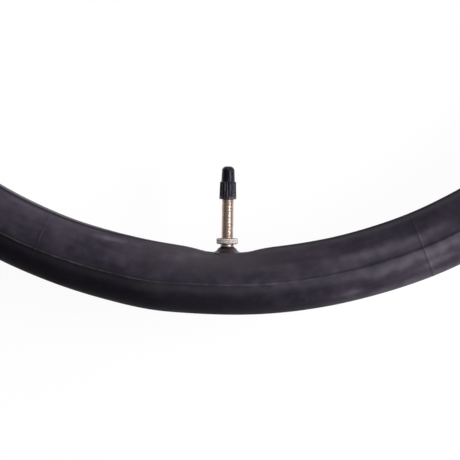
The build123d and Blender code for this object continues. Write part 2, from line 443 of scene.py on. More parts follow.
def add_node(
    tree: bpy.types.NodeTree,
    kind: str,
    sockets: dict[str | int, object] | None = None,
    **settings: object,
) -> bpy.types.Node:
    """Add a node with its settings, values and links.

    Args:
        tree: the node tree that gets the node.
        kind: the node's type, without the word ShaderNode at its front.
        sockets: a value or another node's output for each named or numbered input.
        settings: the node's own properties.

    Returns:
        The new node.
    """
    node = tree.nodes.new("ShaderNode" + kind)
    for name, value in settings.items():
        setattr(node, name, value)
    for name, value in (sockets or {}).items():
        if isinstance(value, bpy.types.NodeSocket):
            tree.links.new(value, node.inputs[name])
        else:
            node.inputs[name].default_value = value
    return node


def blank_material(name: str) -> bpy.types.Material:
    """Make a material with an empty node tree.

    Args:
        name: the material's name.

    Returns:
        The material, its nodes cleared.
    """
    material = bpy.data.materials.new(name)
    material.use_nodes = True
    material.node_tree.nodes.clear()
    return material


def dress(piece: bpy.types.Object, material: bpy.types.Material) -> None:
    """Give a piece one material all over.

    Args:
        piece: the mesh object, new or carried over from the frame.
        material: its finish.
    """
    if piece.data.materials:
        for number in range(len(piece.data.materials)):
            piece.data.materials[number] = material
    else:
        piece.data.materials.append(material)


def surface(tree: bpy.types.NodeTree, sockets: dict[str | int, object]) -> None:
    """Add the Principled shader and the material's output.

    Args:
        tree: the material's node tree.
        sockets: values and links for the shader's inputs.
    """
    shader = add_node(tree, "BsdfPrincipled", sockets)
    add_node(tree, "OutputMaterial", {"Surface": shader.outputs["BSDF"]})


def span(
    tree: bpy.types.NodeTree,
    value: bpy.types.NodeSocket,
    source: tuple[float, float],
    target: tuple[float, float] = (0.0, 1.0),
) -> bpy.types.NodeSocket:
    """Carry a value smoothly from one range to another, held at its ends.

    Args:
        tree: the material's node tree.
        value: the output to carry over.
        source: the range that it has.
        target: the range that it gets.

    Returns:
        The output in its new range.
    """
    node = add_node(
        tree,
        "MapRange",
        {0: value, 1: source[0], 2: source[1], 3: target[0], 4: target[1]},
        interpolation_type="SMOOTHSTEP",
    )
    return node.outputs[0]


def band(
    tree: bpy.types.NodeTree, value: bpy.types.NodeSocket, middle: float, half_width: float
) -> bpy.types.NodeSocket:
    """Mark a soft-edged stripe of a value.

    Args:
        tree: the material's node tree.
        value: the output to look at.
        middle: the value at the stripe's middle.
        half_width: how far from it the stripe fades out.

    Returns:
        One in the middle of the stripe and nothing outside it.
    """
    aside = combine(tree, "ABSOLUTE", combine(tree, "SUBTRACT", value, middle), 0.0)
    return span(tree, aside, (0.0, half_width), (1.0, 0.0))


def product(tree: bpy.types.NodeTree, *values: object) -> bpy.types.NodeSocket:
    """Multiply several masks or numbers.

    Args:
        tree: the material's node tree.
        values: outputs and numbers, an output first.

    Returns:
        Their product.
    """
    result = values[0]
    for value in values[1:]:
        result = combine(tree, "MULTIPLY", result, value)
    return result


def strongest(tree: bpy.types.NodeTree, *values: object) -> bpy.types.NodeSocket:
    """Take the largest of several masks at each place.

    Args:
        tree: the material's node tree.
        values: the masks.

    Returns:
        The largest of them.
    """
    result = values[0]
    for value in values[1:]:
        result = combine(tree, "MAXIMUM", result, value)
    return result


def scaled(
    tree: bpy.types.NodeTree, value: bpy.types.NodeSocket, factor: float, start: float
) -> bpy.types.NodeSocket:
    """Give a straight line of a value.

    Args:
        tree: the material's node tree.
        value: the output to start from.
        factor: how steep the line is.
        start: what it gives where the value is nothing.

    Returns:
        The value times the factor, with the start added.
    """
    return combine(tree, "ADD", combine(tree, "MULTIPLY", value, factor), start)


def combine(
    tree: bpy.types.NodeTree, how: str, first: object, second: object
) -> bpy.types.NodeSocket:
    """Do one sum with two values.

    Args:
        tree: the material's node tree.
        how: the Math node's operation.
        first: an output or a number.
        second: an output or a number.

    Returns:
        The result.
    """
    return add_node(tree, "Math", {0: first, 1: second}, operation=how).outputs[0]


def tint(
    tree: bpy.types.NodeTree, share: bpy.types.NodeSocket, low: object, high: object
) -> bpy.types.NodeSocket:
    """Mix two colours.

    Args:
        tree: the material's node tree.
        share: how much of the second shows.
        low: the first colour.
        high: the second colour.

    Returns:
        The mixed colour.
    """
    node = add_node(tree, "Mix", {0: share, 6: low, 7: high}, data_type="RGBA")
    return node.outputs[2]


def grain(
    tree: bpy.types.NodeTree,
    place: bpy.types.NodeSocket,
    size: float,
    detail: float = 3.0,
    roughness: float = 0.55,
) -> bpy.types.NodeSocket:
    """Lay a cloudy pattern whose patches are about one size.

    Args:
        tree: the material's node tree.
        place: the coordinates that it lies on.
        size: how wide its patches are, in metres.
        detail: how many finer layers it has.
        roughness: how strong the finer layers are.

    Returns:
        The pattern's height from 0 to 1.
    """
    sockets = {
        "Vector": place,
        "Scale": per_metre(size),
        "Detail": detail,
        "Roughness": roughness,
    }
    return add_node(tree, "TexNoise", sockets).outputs[0]


def relief(
    tree: bpy.types.NodeTree,
    height: bpy.types.NodeSocket,
    depth: float,
    strength: float = 1.0,
    under: bpy.types.NodeSocket | None = None,
) -> bpy.types.NodeSocket:
    """Raise a fine relief from a pattern.

    Args:
        tree: the material's node tree.
        height: the pattern.
        depth: how high the pattern stands, in metres.
        strength: how much of it shows.
        under: a relief that this one lies on.

    Returns:
        The normal for a shader.
    """
    sockets = {"Height": height, "Distance": depth, "Strength": strength}
    if under is not None:
        sockets["Normal"] = under
    return add_node(tree, "Bump", sockets).outputs[0]


def from_axis(
    tree: bpy.types.NodeTree, parts: bpy.types.Node, first: str, second: str
) -> bpy.types.NodeSocket:
    """Work out how far a place is from one of the frame's axes.

    Args:
        tree: the material's node tree.
        parts: the node that splits the coordinates.
        first: a direction across the axis, such as X.
        second: the other direction across it.

    Returns:
        The distance in metres.
    """
    spoke = add_node(
        tree, "CombineXYZ", {first: parts.outputs[first], second: parts.outputs[second]}
    )
    return add_node(
        tree, "VectorMath", {0: spoke.outputs[0]}, operation="LENGTH"
    ).outputs["Value"]


@dataclass(frozen=True)
class Stripe:
    """A soft-edged stripe along the tube, which may be stronger on one side of the valve."""

    middle: float
    reach: float
    left: float
    right: float

    def mask(
        self,
        tree: bpy.types.NodeTree,
        where: bpy.types.NodeSocket,
        side: bpy.types.NodeSocket,
        rightness: bpy.types.NodeSocket,
    ) -> bpy.types.NodeSocket:
        """Mark the stripe.

        Args:
            tree: the material's node tree.
            where: how far a place is across the stripe, in metres.
            side: one on the half of the section that has the stripe.
            rightness: nothing to the left of the valve and one to its right.

        Returns:
            The stripe's strength.
        """
        strength = scaled(tree, rightness, self.right - self.left, self.left)
        return product(tree, band(tree, where, self.middle, self.reach), side, strength)


@dataclass(frozen=True)
class ButylTubeRubber:
    """Vulcanised butyl rubber, cured in a mould and handled with talcum.

    A dull blackish grey with a violet cast. The talcum leaves soft pale clouds a centimetre wide
    and the extruder faint streaks along the tube. Placed patches are talcum with painted sheen,
    and the lines along the seam and the edges carry dust and grime with painted highlight,
    painted rim light and painted shade. The pores are drawn coarser than real ones, which are too
    fine to show.
    """

    body: str = "#2b2730"
    bloom: str = "#453f4a"
    # Talcum patches, partly painted sheen where the tube faces the light.
    talc_and_sheen: str = "#5c5760"
    wiped: str = "#3f3b3e"
    # Grime and painted shade along the mould lines and edges.
    dark_grime_and_shade: str = "#0e0c10"
    # Dust with painted highlight, painted rim light and painted sheen along the lines and edges.
    pale_dust_and_light: str = "#69666b"
    section: float = 18 * MM
    wear: float = 3.4 * MM
    cloud: float = 16 * MM
    patch: float = 9 * MM
    mottle: float = 4.5 * MM
    pores: float = 0.5 * MM
    pore_depth: float = 0.02 * MM
    cloud_depth: float = 0.5 * MM
    streak: float = 3.2 * MM
    streak_stretch: float = 0.05
    cloud_share: float = 0.35
    mottle_share: float = 0.25
    streak_share: float = 0.15
    talc_and_sheen_edge: tuple[float, float] = (0.05, 1.15)
    wiped_middle: tuple[float, float] = (-6 * MM, -14 * MM)
    wiped_reach: tuple[float, float] = (62 * MM, 12.5 * MM)
    wiped_share: float = 0.75
    # Grime and painted shade along the inner parting line.
    inner_line_grime_and_shade: Stripe = Stripe(3.0 * MM, 1.5 * MM, 0.9, 1.0)
    # Painted shade where the inner edge turns away from the light, right of the valve.
    inner_edge_shade: Stripe = Stripe(0.6 * MM, 3.2 * MM, 0.0, 1.2)
    # Painted rim light along the inner edge, left of the valve.
    inner_painted_rim_light: Stripe = Stripe(-1.0 * MM, 3.2 * MM, 0.95, 0.05)
    # A paler band a few millimetres inside the inner edge, stronger right of the valve.
    inner_pale_band: Stripe = Stripe(6.2 * MM, 3.2 * MM, 0.06, 0.11)
    # Painted sheen near the outer edge, on the lit side right of the valve.
    outer_edge_painted_sheen: Stripe = Stripe(4.0 * MM, 4.0 * MM, 0.0, 0.55)
    seam_bloom: Stripe = Stripe(2.4 * MM, 4.6 * MM, 0.15, 0.15)
    # Painted shade: a dark line on the side of the seam ridge that faces away from the light.
    seam_painted_shade: Stripe = Stripe(-0.95 * MM, 1.1 * MM, 1.0, 1.0)
    # Seam dust with a painted highlight where the seam ridge faces the light.
    seam_dust_and_highlight: Stripe = Stripe(-0.1 * MM, 1.3 * MM, 1.0, 1.0)
    seam_patchiness: tuple[float, float] = (0.85, 0.12)
    ring_grime: float = 0.68
    ring_dust: float = 0.3
    roughness: tuple[float, float] = (0.62, 0.8)
    specular: float = 0.05

    def material(self) -> bpy.types.Material:
        """Build the rubber of the tube.

        Returns:
            The material.
        """
        made = blank_material("vulcanised_butyl_rubber")
        tree = made.node_tree
        place = add_node(tree, "TexCoord").outputs["Object"]
        parts = add_node(tree, "SeparateXYZ", {0: place})
        clouds = grain(tree, place, self.cloud, 2.0, 0.5)
        mottle = grain(tree, place, self.mottle, 4.0, 0.6)
        streaks = grain(tree, self.lengthways(tree, parts), self.streak, 3.0)
        inward, upward, right, seam_dust_and_highlight, seam_painted_shade, ring_line, talc_and_sheen = (
            add_node(tree, "Attribute", attribute_name=name).outputs["Fac"]
            for name in (
                "section_cos",
                "section_sin",
                "right_side",
                "seam_dust_and_highlight",
                "seam_painted_shade",
                "ring_line",
                "talc_and_sheen",
            )
        )
        dust = combine(
            tree,
            "ADD",
            product(tree, span(tree, clouds, (0.4, 0.68)), self.cloud_share),
            combine(
                tree,
                "ADD",
                product(tree, span(tree, mottle, (0.4, 0.75)), self.mottle_share),
                product(tree, span(tree, streaks, (0.4, 0.7)), self.streak_share),
            ),
        )
        rubbed_off = combine(tree, "MINIMUM", talc_and_sheen, 0.0)
        kept = combine(tree, "MAXIMUM", combine(tree, "ADD", dust, rubbed_off), 0.0)
        colour = tint(tree, kept, linear(self.body), linear(self.bloom))
        above_inner = product(tree, upward, self.section)
        beyond_seam = product(tree, inward, -self.section)
        inside = combine(tree, "GREATER_THAN", inward, 0.0)
        outside = combine(tree, "SUBTRACT", 1.0, inside)
        on_top = combine(tree, "GREATER_THAN", upward, 0.0)
        by_valve = product(
            tree,
            band(tree, parts.outputs["X"], self.wiped_middle[0], self.wiped_reach[0]),
            combine(tree, "LESS_THAN", parts.outputs["Y"], 0.0),
            band(tree, beyond_seam, self.wiped_middle[1], self.wiped_reach[1]),
            on_top,
            self.wiped_share,
        )
        colour = tint(tree, by_valve, colour, linear(self.wiped))
        ragged = combine(
            tree,
            "ADD",
            product(tree, grain(tree, place, self.patch, 1.0, 0.4), 1.3),
            product(tree, mottle, 0.25),
        )
        # Talcum patches, partly painted sheen where the tube faces the light.
        talc_and_sheen_share = span(tree, product(tree, talc_and_sheen, ragged), self.talc_and_sheen_edge)
        colour = tint(tree, talc_and_sheen_share, colour, linear(self.talc_and_sheen))
        wear = span(tree, grain(tree, place, self.wear, 2.0, 0.6), (0.42, 0.6))
        left = combine(tree, "SUBTRACT", 1.0, right)
        # Pale lines: seam dust with painted highlight, painted rim light, painted sheen, a paler
        # inner band, bloom by the seam and dust on the cross lines.
        pale = strongest(
            tree,
            product(
                tree,
                self.seam_dust_and_highlight.mask(tree, beyond_seam, on_top, right),
                seam_dust_and_highlight,
                scaled(tree, wear, *self.seam_patchiness),
            ),
            self.inner_painted_rim_light.mask(tree, above_inner, inside, right),
            self.inner_pale_band.mask(tree, above_inner, inside, right),
            self.seam_bloom.mask(tree, beyond_seam, on_top, right),
            self.outer_edge_painted_sheen.mask(tree, above_inner, outside, right),
            product(tree, ring_line, wear, left, self.ring_dust),
        )
        colour = tint(tree, pale, colour, linear(self.pale_dust_and_light))
        # Dark lines: grime and painted shade at the inner parting line, painted shade beside the
        # seam ridge and at the inner edge, and grime on the cross lines.
        grime_and_shade = strongest(
            tree,
            self.inner_line_grime_and_shade.mask(tree, above_inner, inside, right),
            product(tree, self.seam_painted_shade.mask(tree, beyond_seam, on_top, right), seam_painted_shade),
            self.inner_edge_shade.mask(tree, above_inner, inside, right),
            product(tree, ring_line, right, self.ring_grime),
        )
        colour = tint(tree, grime_and_shade, colour, linear(self.dark_grime_and_shade))
        normal = relief(tree, grain(tree, place, self.pores, 2.0), self.pore_depth, 0.5)
        surface(
            tree,
            {
                "Base Color": colour,
                "Roughness": span(tree, dust, (0, 0.8), self.roughness),
                "Specular IOR Level": self.specular,
                "Normal": relief(tree, clouds, self.cloud_depth, 0.5, normal),
            },
        )
        return made

    def lengthways(
        self, tree: bpy.types.NodeTree, parts: bpy.types.Node
    ) -> bpy.types.NodeSocket:
        """Give coordinates that change slowly along the tube, so that grain becomes streaks.

        Args:
            tree: the material's node tree.
            parts: the node that splits the coordinates.

        Returns:
            The coordinates.
        """
        length = from_axis(tree, parts, "X", "Y")
        turn = combine(tree, "DIVIDE", parts.outputs["X"], length)
        sockets = {
            "X": length,
            "Y": parts.outputs["Z"],
            "Z": combine(tree, "MULTIPLY", turn, self.streak_stretch),
        }
        return add_node(tree, "CombineXYZ", sockets).outputs[0]


@dataclass(frozen=True)
class BootRubber:
    """Natural-rubber compound of the valve boot, moulded on the stem and vulcanised to the tube.

    Browner and glossier than the tube, with a smooth mould skin and a little dust on its flare.
    The side towards +X is painted lighter as light, and the side towards -X darker as shade.
    """

    body: str = "#261f21"
    dust: str = "#3d3638"
    skin: str = "#39353a"
    # Painted light: the boot's side towards +X, which faces the lamp, is painted lighter.
    right_side_light: str = "#483f42"
    # Painted shade: the boot's side towards -X, away from the lamp, is painted darker.
    left_side_shade: str = "#1b1718"
    skin_from: tuple[float, float] = (6.8 * MM, 10.5 * MM)
    lit_side_from: tuple[float, float] = (-1 * MM, 5 * MM)
    lit_side_share: float = 0.75
    shaded_side_from: tuple[float, float] = (-3 * MM, -7 * MM)
    shaded_side_share: float = 0.7
    patch: float = 3.5 * MM
    pores: float = 0.6 * MM
    pore_depth: float = 0.02 * MM
    roughness: tuple[float, float] = (0.34, 0.5)
    skin_roughness: float = 0.75
    specular: float = 0.15

    def material(self) -> bpy.types.Material:
        """Build the rubber of the boot.

        Returns:
            The material.
        """
        made = blank_material("moulded_boot_rubber")
        tree = made.node_tree
        place = add_node(tree, "TexCoord").outputs["Object"]
        parts = add_node(tree, "SeparateXYZ", {0: place})
        radius = from_axis(tree, parts, "X", "Z")
        share = span(tree, grain(tree, place, self.patch, 4.0), (0.45, 0.75))
        pad = span(tree, radius, self.skin_from)
        across = parts.outputs["X"]
        # Painted light on the side towards +X.
        lit_side = span(tree, across, self.lit_side_from, (0.0, self.lit_side_share))
        # Painted shade on the side towards -X.
        shaded_side = span(tree, across, self.shaded_side_from, (0.0, self.shaded_side_share))
        colour = tint(tree, share, linear(self.body), linear(self.dust))
        colour = tint(tree, lit_side, colour, linear(self.right_side_light))
        colour = tint(tree, pad, colour, linear(self.skin))
        roughness = strongest(
            tree,
            span(tree, share, (0, 1), self.roughness),
            product(tree, pad, self.skin_roughness),
        )
        pores = grain(tree, place, self.pores, 3.0)
        surface(
            tree,
            {
                "Base Color": tint(tree, shaded_side, colour, linear(self.left_side_shade)),
                "Roughness": roughness,
                "Specular IOR Level": self.specular,
                "Normal": relief(tree, pores, self.pore_depth, 0.6),
            },
        )
        return made


@dataclass(frozen=True)
class PlatedBrass:
    """Brass turned on a lathe and plated with nickel.

    A pale warm silver. The tool leaves fine rings across the axis, drawn coarser than real ones,
    which are too fine to show. The roots of a thread, where the plating is thin and dust stays,
    are brown.
    """

    name: str = "nickel_plated_brass"
    bright: str = "#decfc7"
    worn: str = "#d0b8a6"
    root: str = "#bb9a83"
    root_radius: float = 2.96 * MM
    crest_radius: float = 3.18 * MM
    roughness: tuple[float, float] = (0.34, 0.46)
    metallic: float = 1.0
    patch: float = 2.5 * MM
    ring: float = 0.16 * MM
    ring_depth: float = 0.006 * MM

    def material(self) -> bpy.types.Material:
        """Build the plated metal.

        Returns:
            The material.
        """
        made = blank_material(self.name)
        tree = made.node_tree
        place = add_node(tree, "TexCoord").outputs["Object"]
        parts = add_node(tree, "SeparateXYZ", {0: place})
        radius = from_axis(tree, parts, "X", "Z")
        patches = grain(tree, place, self.patch, 4.0)
        colour = tint(
            tree, span(tree, patches, (0.4, 0.7)), linear(self.bright), linear(self.worn)
        )
        deep = span(tree, radius, (self.root_radius, self.crest_radius), (1, 0))
        colour = tint(tree, deep, colour, linear(self.root))
        rings = add_node(
            tree,
            "TexNoise",
            {
                "Vector": add_node(tree, "CombineXYZ", {"Y": parts.outputs["Y"]}).outputs[0],
                "Scale": per_metre(self.ring),
                "Detail": 2.0,
            },
        ).outputs[0]
        surface(
            tree,
            {
                "Base Color": colour,
                "Metallic": self.metallic,
                "Roughness": span(tree, patches, (0.3, 0.7), self.roughness),
                "Normal": relief(tree, rings, self.ring_depth, 0.4),
            },
        )
        return made


@dataclass(frozen=True)
class SealRubber:
    """Nitrile rubber of the small seals, moulded: a plain matt black with faint dust."""

    body: str = "#1d1c1d"
    dust: str = "#353336"
    patch: float = 0.8 * MM
    pores: float = 0.2 * MM
    pore_depth: float = 0.01 * MM
    roughness: tuple[float, float] = (0.5, 0.7)

    def material(self) -> bpy.types.Material:
        """Build the rubber of the seals.

        Returns:
            The material.
        """
        made = blank_material("moulded_nitrile_rubber")
        tree = made.node_tree
        place = add_node(tree, "TexCoord").outputs["Object"]
        share = span(tree, grain(tree, place, self.patch, 4.0), (0.4, 0.8))
        surface(
            tree,
            {
                "Base Color": tint(tree, share, linear(self.body), linear(self.dust)),
                "Roughness": span(tree, share, (0, 1), self.roughness),
                "Normal": relief(tree, grain(tree, place, self.pores), self.pore_depth, 0.5),
            },
        )
        return made


@dataclass(frozen=True)
class CapPlastic:
    """Moulded polypropylene: a bluish black with a soft waxy gloss and rubbed patches.

    The rib crests are painted paler as a highlight.
    """

    body: str = "#0a0a0e"
    rubbed: str = "#17161d"
    # Painted highlight on the rib crests.
    crest: str = "#39373f"
    roughness: tuple[float, float] = (0.3, 0.36)
    specular: float = 0.36
    gloss: str = "#ede8ff"
    crest_radius: float = 4.65 * MM
    crest_highlight_fade: float = 0.2 * MM
    taper: float = 0.032
    patch: float = 2.4 * MM
    ripple: float = 1.1 * MM
    ripple_depth: float = 0.004 * MM

    def material(self) -> bpy.types.Material:
        """Build the plastic of the cap.

        Returns:
            The material.
        """
        made = blank_material("moulded_polypropylene")
        tree = made.node_tree
        place = add_node(tree, "TexCoord").outputs["Object"]
        share = span(tree, grain(tree, place, self.patch, 2.0), (0.4, 0.75))
        parts = add_node(tree, "SeparateXYZ", {0: place})
        radius = from_axis(tree, parts, "X", "Z")
        low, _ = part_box("cap")
        rise = combine(tree, "SUBTRACT", parts.outputs["Y"], low.y)
        foot = combine(tree, "ADD", radius, combine(tree, "MULTIPLY", rise, self.taper))
        # Painted highlight: the rib crests are painted paler.
        crest = span(tree, foot, (self.crest_radius - self.crest_highlight_fade, self.crest_radius))
        ripple = grain(tree, place, self.ripple, 1.0)
        colour = tint(tree, share, linear(self.body), linear(self.rubbed))
        surface(
            tree,
            {
                "Base Color": tint(tree, crest, colour, linear(self.crest)),
                "Roughness": span(tree, share, (0, 1), self.roughness),
                "Specular IOR Level": self.specular,
                "Specular Tint": linear(self.gloss),
                "Normal": relief(tree, ripple, self.ripple_depth, 0.2),
            },
        )
        return made


# ------------------------------------------------------------------ the tube
@dataclass
class InnerTube:
    """The rubber tube: a torus, its mould lines, its twist and the saddle under the valve.

    A twist, a fuller or wider run and a patch of seam dust with painted highlight are each a
    place in degrees from the valve towards +X, a length in degrees and an amount. A patch of
    talcum with painted sheen has its place and its length in degrees and across the seam in
    millimetres, and then its amount, below nothing if wiped.
    """

    ring_blocks: int = 256
    block_cuts: int = 3
    section_faces: int = 60
    flash_width: float = 0.28 * MM
    flash_height: float = 0.15 * MM
    crease_height: float = 0.8 * MM
    crease_reach: float = 5.0 * MM
    ring_mark_height: float = 0.07 * MM
    dip_depth: float = 2.75 * MM
    dip_half_width: float = 16.3 * MM
    dip_steepness: float = 4.6
    dip_softness: float = 0.5 * MM
    saddle_reach: float = 0.3
    saddle_release: float = 0.5 * MM
    slack: float = 0.44 * MM
    fullness: float = 0.12 * MM
    lead_angle: float = math.radians(5.6)
    twists: tuple[tuple[float, float, float], ...] = ((-6.5, 2.2, 5.0), (-20.5, 3.0, 2.6))
    fuller_runs: tuple[tuple[float, float, float], ...] = (
        (-9.0, 4.5, 0.65),
        (-14.0, 7.0, 0.25),
        (24.0, 9.0, 0.08),
        (-27.0, 4.0, 0.22),
        (-6.8, 2.2, 0.1),
        (-12.4, 2.5, 0.05),
        (3.0, 5.0, -0.1),
        (-19.5, 3.5, -0.1),
        (15.5, 3.0, -0.12),
    )
    wider_runs: tuple[tuple[float, float, float], ...] = (
        (33.0, 11.0, 0.35),
        (24.0, 4.0, 0.2),
        (-19.5, 3.5, 0.1),
        (-27.0, 4.0, 0.17),
        (-12.4, 2.5, -0.2),
    )
    swell: float = 0.2 * MM
    swell_middle: float = -57 * MM
    swell_reach: float = 20 * MM
    wave_height: float = 0.06 * MM
    rest_softness: float = 0.1 * MM
    # How strong the painted shade beside the seam ridge is, and where it is fainter.
    seam_painted_shade: float = 0.46
    fainter_seam_shade: tuple[float, float, float] = (0.5, 8.0, 0.3)
    # How strong the seam dust and its painted highlight are, with patches where they are stronger.
    seam_dust_and_highlight: float = 0.18
    seam_dust_and_highlight_patches: tuple[tuple[float, float, float], ...] = (
        (6.0, 4.0, 0.17),
        (-18.5, 2.5, 0.12),
    )
    right_from: tuple[float, float] = (9.0, 5.0)
    right_fades: tuple[float, float] = (115.0, 14.0)
    twist_ends: tuple[float, float] = (-110.0, 25.0)
    worn_ring_lines: float = 0.4
    # Patches of talcum, partly painted sheen; negative amounts wipe the bloom off.
    talc_and_sheen_patches: tuple[tuple[float, float, float, float, float], ...] = (
        (23.5, 4.5, 5.5, 4.2, 0.95),
        (16.5, -8.0, 5.0, 3.8, 0.75),
        (24.5, -7.0, 3.2, 3.2, 0.75),
        (13.0, 13.0, 2.6, 2.6, 0.8),
        (15.5, 4.6, 4.0, 3.6, 0.55),
        (19.0, 19.5, 9.0, 4.5, 0.7),
        (17.0, -4.0, 9.0, 5.0, 0.3),
        (6.5, -9.0, 3.6, 3.2, 0.4),
        (-6.5, -14.0, 2.2, 2.4, 0.5),
        (-15.0, -8.0, 6.0, 4.0, 0.25),
        (-2.0, -4.0, 6.0, 5.0, 0.25),
        (6.5, 0.0, 6.0, 3.2, 0.62),
        (-6.0, 12.5, 9.0, 5.0, -0.45),
        (-4.5, -18.0, 3.5, 2.6, 0.6),
        (-14.5, -19.5, 5.0, 2.4, 0.65),
        (24.3, 10.0, 2.5, 2.6, 0.9),
        (120.0, -2.0, 12.0, 7.0, 0.6),
        (-118.0, 6.0, 9.0, 6.0, 0.5),
    )
    ring_marks: tuple[int, ...] = (66, 195, 322, 451, 578, 707, 833, 960)

    def __post_init__(self) -> None:
        """Read the ring, the section and the flats from the frame."""
        low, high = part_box("tube")
        self.section = high.z
        self.ring = high.x - high.z
        self.rest = low.z
        self.ring_faces = self.ring_blocks * (self.block_cuts + 1)

    def dip(self, x: np.ndarray) -> np.ndarray:
        """Say how deep the valve pulls the tube's inner side in.

        Args:
            x: places across the valve.

        Returns:
            The depth for each place.
        """
        return self.dip_depth / (1 + (np.abs(x) / self.dip_half_width) ** self.dip_steepness)

    def pressed(self, depth: np.ndarray, x: np.ndarray) -> np.ndarray:
        """Press the skin down to the saddle under the valve, softly at its edge.

        Args:
            depth: how far along -Y the skin lies.
            x: its places across the valve.

        Returns:
            How far along -Y the pressed skin lies.
        """
        inner = self.ring + self.slack - self.section
        dip = self.dip(x)
        swell = self.swell * hump(x, self.swell_middle, self.swell_reach)
        release = self.saddle_release * (x / (self.saddle_reach * self.ring)) ** 6
        floor = np.sqrt(inner**2 - np.minimum(np.abs(x), 0.98 * inner) ** 2)
        floor = floor + dip - swell - release
        soft = self.dip_softness * dip / self.dip_depth
        return 0.5 * (depth + floor + np.sqrt((depth - floor) ** 2 + soft**2))

    def skin(self, x: np.ndarray, z: np.ndarray) -> np.ndarray:
        """Give the y of the tube's inner side near the valve.

        Args:
            x: places across the valve.
            z: places along the ring's axis.

        Returns:
            The skin's y for each place.
        """
        across = np.sqrt(np.maximum(self.section**2 - z**2, 0))
        depth = np.sqrt((self.ring + self.slack - across) ** 2 - x**2)
        return -self.pressed(depth, x)

    def mould(self) -> bpy.types.Object:
        """Add the torus and the extra loops that its mould lines need.

        Returns:
            The tube before it is shaped.
        """
        bpy.ops.object.select_all(action="DESELECT")
        bpy.ops.mesh.primitive_torus_add(
            major_radius=self.ring,
            minor_radius=self.section,
            major_segments=self.ring_blocks,
            minor_segments=self.section_faces,
        )
        tube = added("rubber_tube")
        slack = 0.05 * MM
        block = TURN / self.ring_blocks

        def lengthways(start: Vector, end: Vector) -> bool:
            """Say whether an edge runs along the tube from one block to the next."""
            gap = math.atan2(start.y, start.x) - math.atan2(end.y, end.x)
            return abs(math.sin(gap)) > 0.5 * block

        with editing(tube, "EDGE"):
            pick_edges(tube, lengthways)
            bpy.ops.mesh.subdivide(number_cuts=self.block_cuts)

        def on_line(place: Vector) -> bool:
            """Say whether a place is on one of the four lengthways lines."""
            out = math.hypot(place.x, place.y) - self.ring
            return abs(out) < slack or abs(place.z) < slack

        def along(start: Vector, end: Vector) -> bool:
            """Say whether an edge runs along a lengthways line."""
            here = math.hypot(start.x, start.y) - math.hypot(end.x, end.y)
            return on_line(start) and on_line(end) and abs(here) + abs(start.z - end.z) < slack

        with editing(tube, "EDGE"):
            pick_edges(tube, along)
            bpy.ops.mesh.bevel(offset=self.flash_width, segments=2, affect="EDGES")
        step = TURN / self.ring_faces
        quarter_back = 3 * self.ring_faces // 4
        marks = {(number + quarter_back) % self.ring_faces for number in self.ring_marks}

        def ring_number(place: Vector) -> float:
            """Count the faces from +X round to a place."""
            return math.atan2(place.y, place.x) % TURN / step

        def across(start: Vector, end: Vector) -> bool:
            """Say whether an edge lies in one of the marked cross-sections.

            Args:
                start: the edge's first end.
                end: its other end.

            Returns:
                True where a mould line crosses the tube.
            """
            first, second = ring_number(start), ring_number(end)
            near = round(first) % self.ring_faces
            return near in marks and abs(first - round(first)) + abs(first - second) < 0.02

        with editing(tube, "EDGE"):
            pick_edges(tube, across)
            bpy.ops.mesh.bevel(offset=self.flash_width, segments=2, affect="EDGES")
        return tube

    def twist(self, turn: np.ndarray) -> np.ndarray:
        """Say how far the section is turned about its own centre.

        Args:
            turn: angles round the ring from the valve, towards +X.

        Returns:
            The angle for each place.
        """
        degrees = np.degrees(turn)
        far_side = step_up(degrees, *self.twist_ends)
        total = sum(
            amount * (1 - step_up(degrees, middle, reach))
            for middle, reach, amount in self.twists
        )
        return np.radians(total) * far_side

    @staticmethod
    def mark(tube: bpy.types.Object, name: str, values: np.ndarray) -> None:
        """Keep a number at each vertex for the rubber's pattern to read.

        Args:
            tube: the tube.
            name: what the number is called.
            values: one number for each vertex.
        """
        layer = tube.data.attributes.new(name, "FLOAT", "POINT")
        layer.data.foreach_set("value", values.astype(np.float32))

    def lines_round_section(self, turn: np.ndarray, phi: np.ndarray) -> np.ndarray:
        """Say where the fine mould lines cross the tube, fainter where they are worn.

        Args:
            turn: angles round the ring from the valve.
            phi: angles round the section from its inner side.

        Returns:
            One on such a line and nothing beside it.
        """
        lines = np.zeros(len(turn))
        for number in self.ring_marks:
            gap = np.angle(np.exp(1j * (turn - number * TURN / self.ring_faces))) * self.ring
            lines = np.maximum(lines, np.clip(1 - np.abs(gap) / self.flash_width, 0, 1))
        worn = (turn < 0) & (np.cos(phi) < 0) & (np.sin(phi) > 0)
        return lines * np.where(worn, self.worn_ring_lines, 1.0)

    def section_radius(self, turn: np.ndarray, phi: np.ndarray, lines: np.ndarray) -> np.ndarray:
        """Give the section's radius with its four edges, its mould lines and its swellings.

        Args:
            turn: angles round the ring from the valve.
            phi: angles round the section from its inner side.
            lines: one on a mould line that crosses the tube.

        Returns:
            The radius for each place.
        """
        face = np.sin(phi) ** 2
        nearest = np.round(phi / (math.pi / 2)) * (math.pi / 2)
        aside = np.abs(phi - nearest) * self.section
        flash = np.clip(1 - aside / self.flash_width, 0, 1)
        crease = np.exp(-aside / self.crease_reach) * (0.15 + 0.85 * face)
        body = self.section + self.fullness - (self.crease_height - 0.02 * MM) * face
        ripple = np.sin(7 * turn + 1.1) + np.sin(16 * turn + 0.4) + 0.6 * np.sin(29 * turn)
        radius = (
            body
            + self.flash_height * flash
            + self.crease_height * crease
            + self.ring_mark_height * lines
            + self.wave_height * ripple * np.cos(phi) ** 2
        )
        for middle, half_length, amount in self.fuller_runs:
            radius = radius + amount * MM * hump(np.degrees(turn), middle, half_length)
        return radius

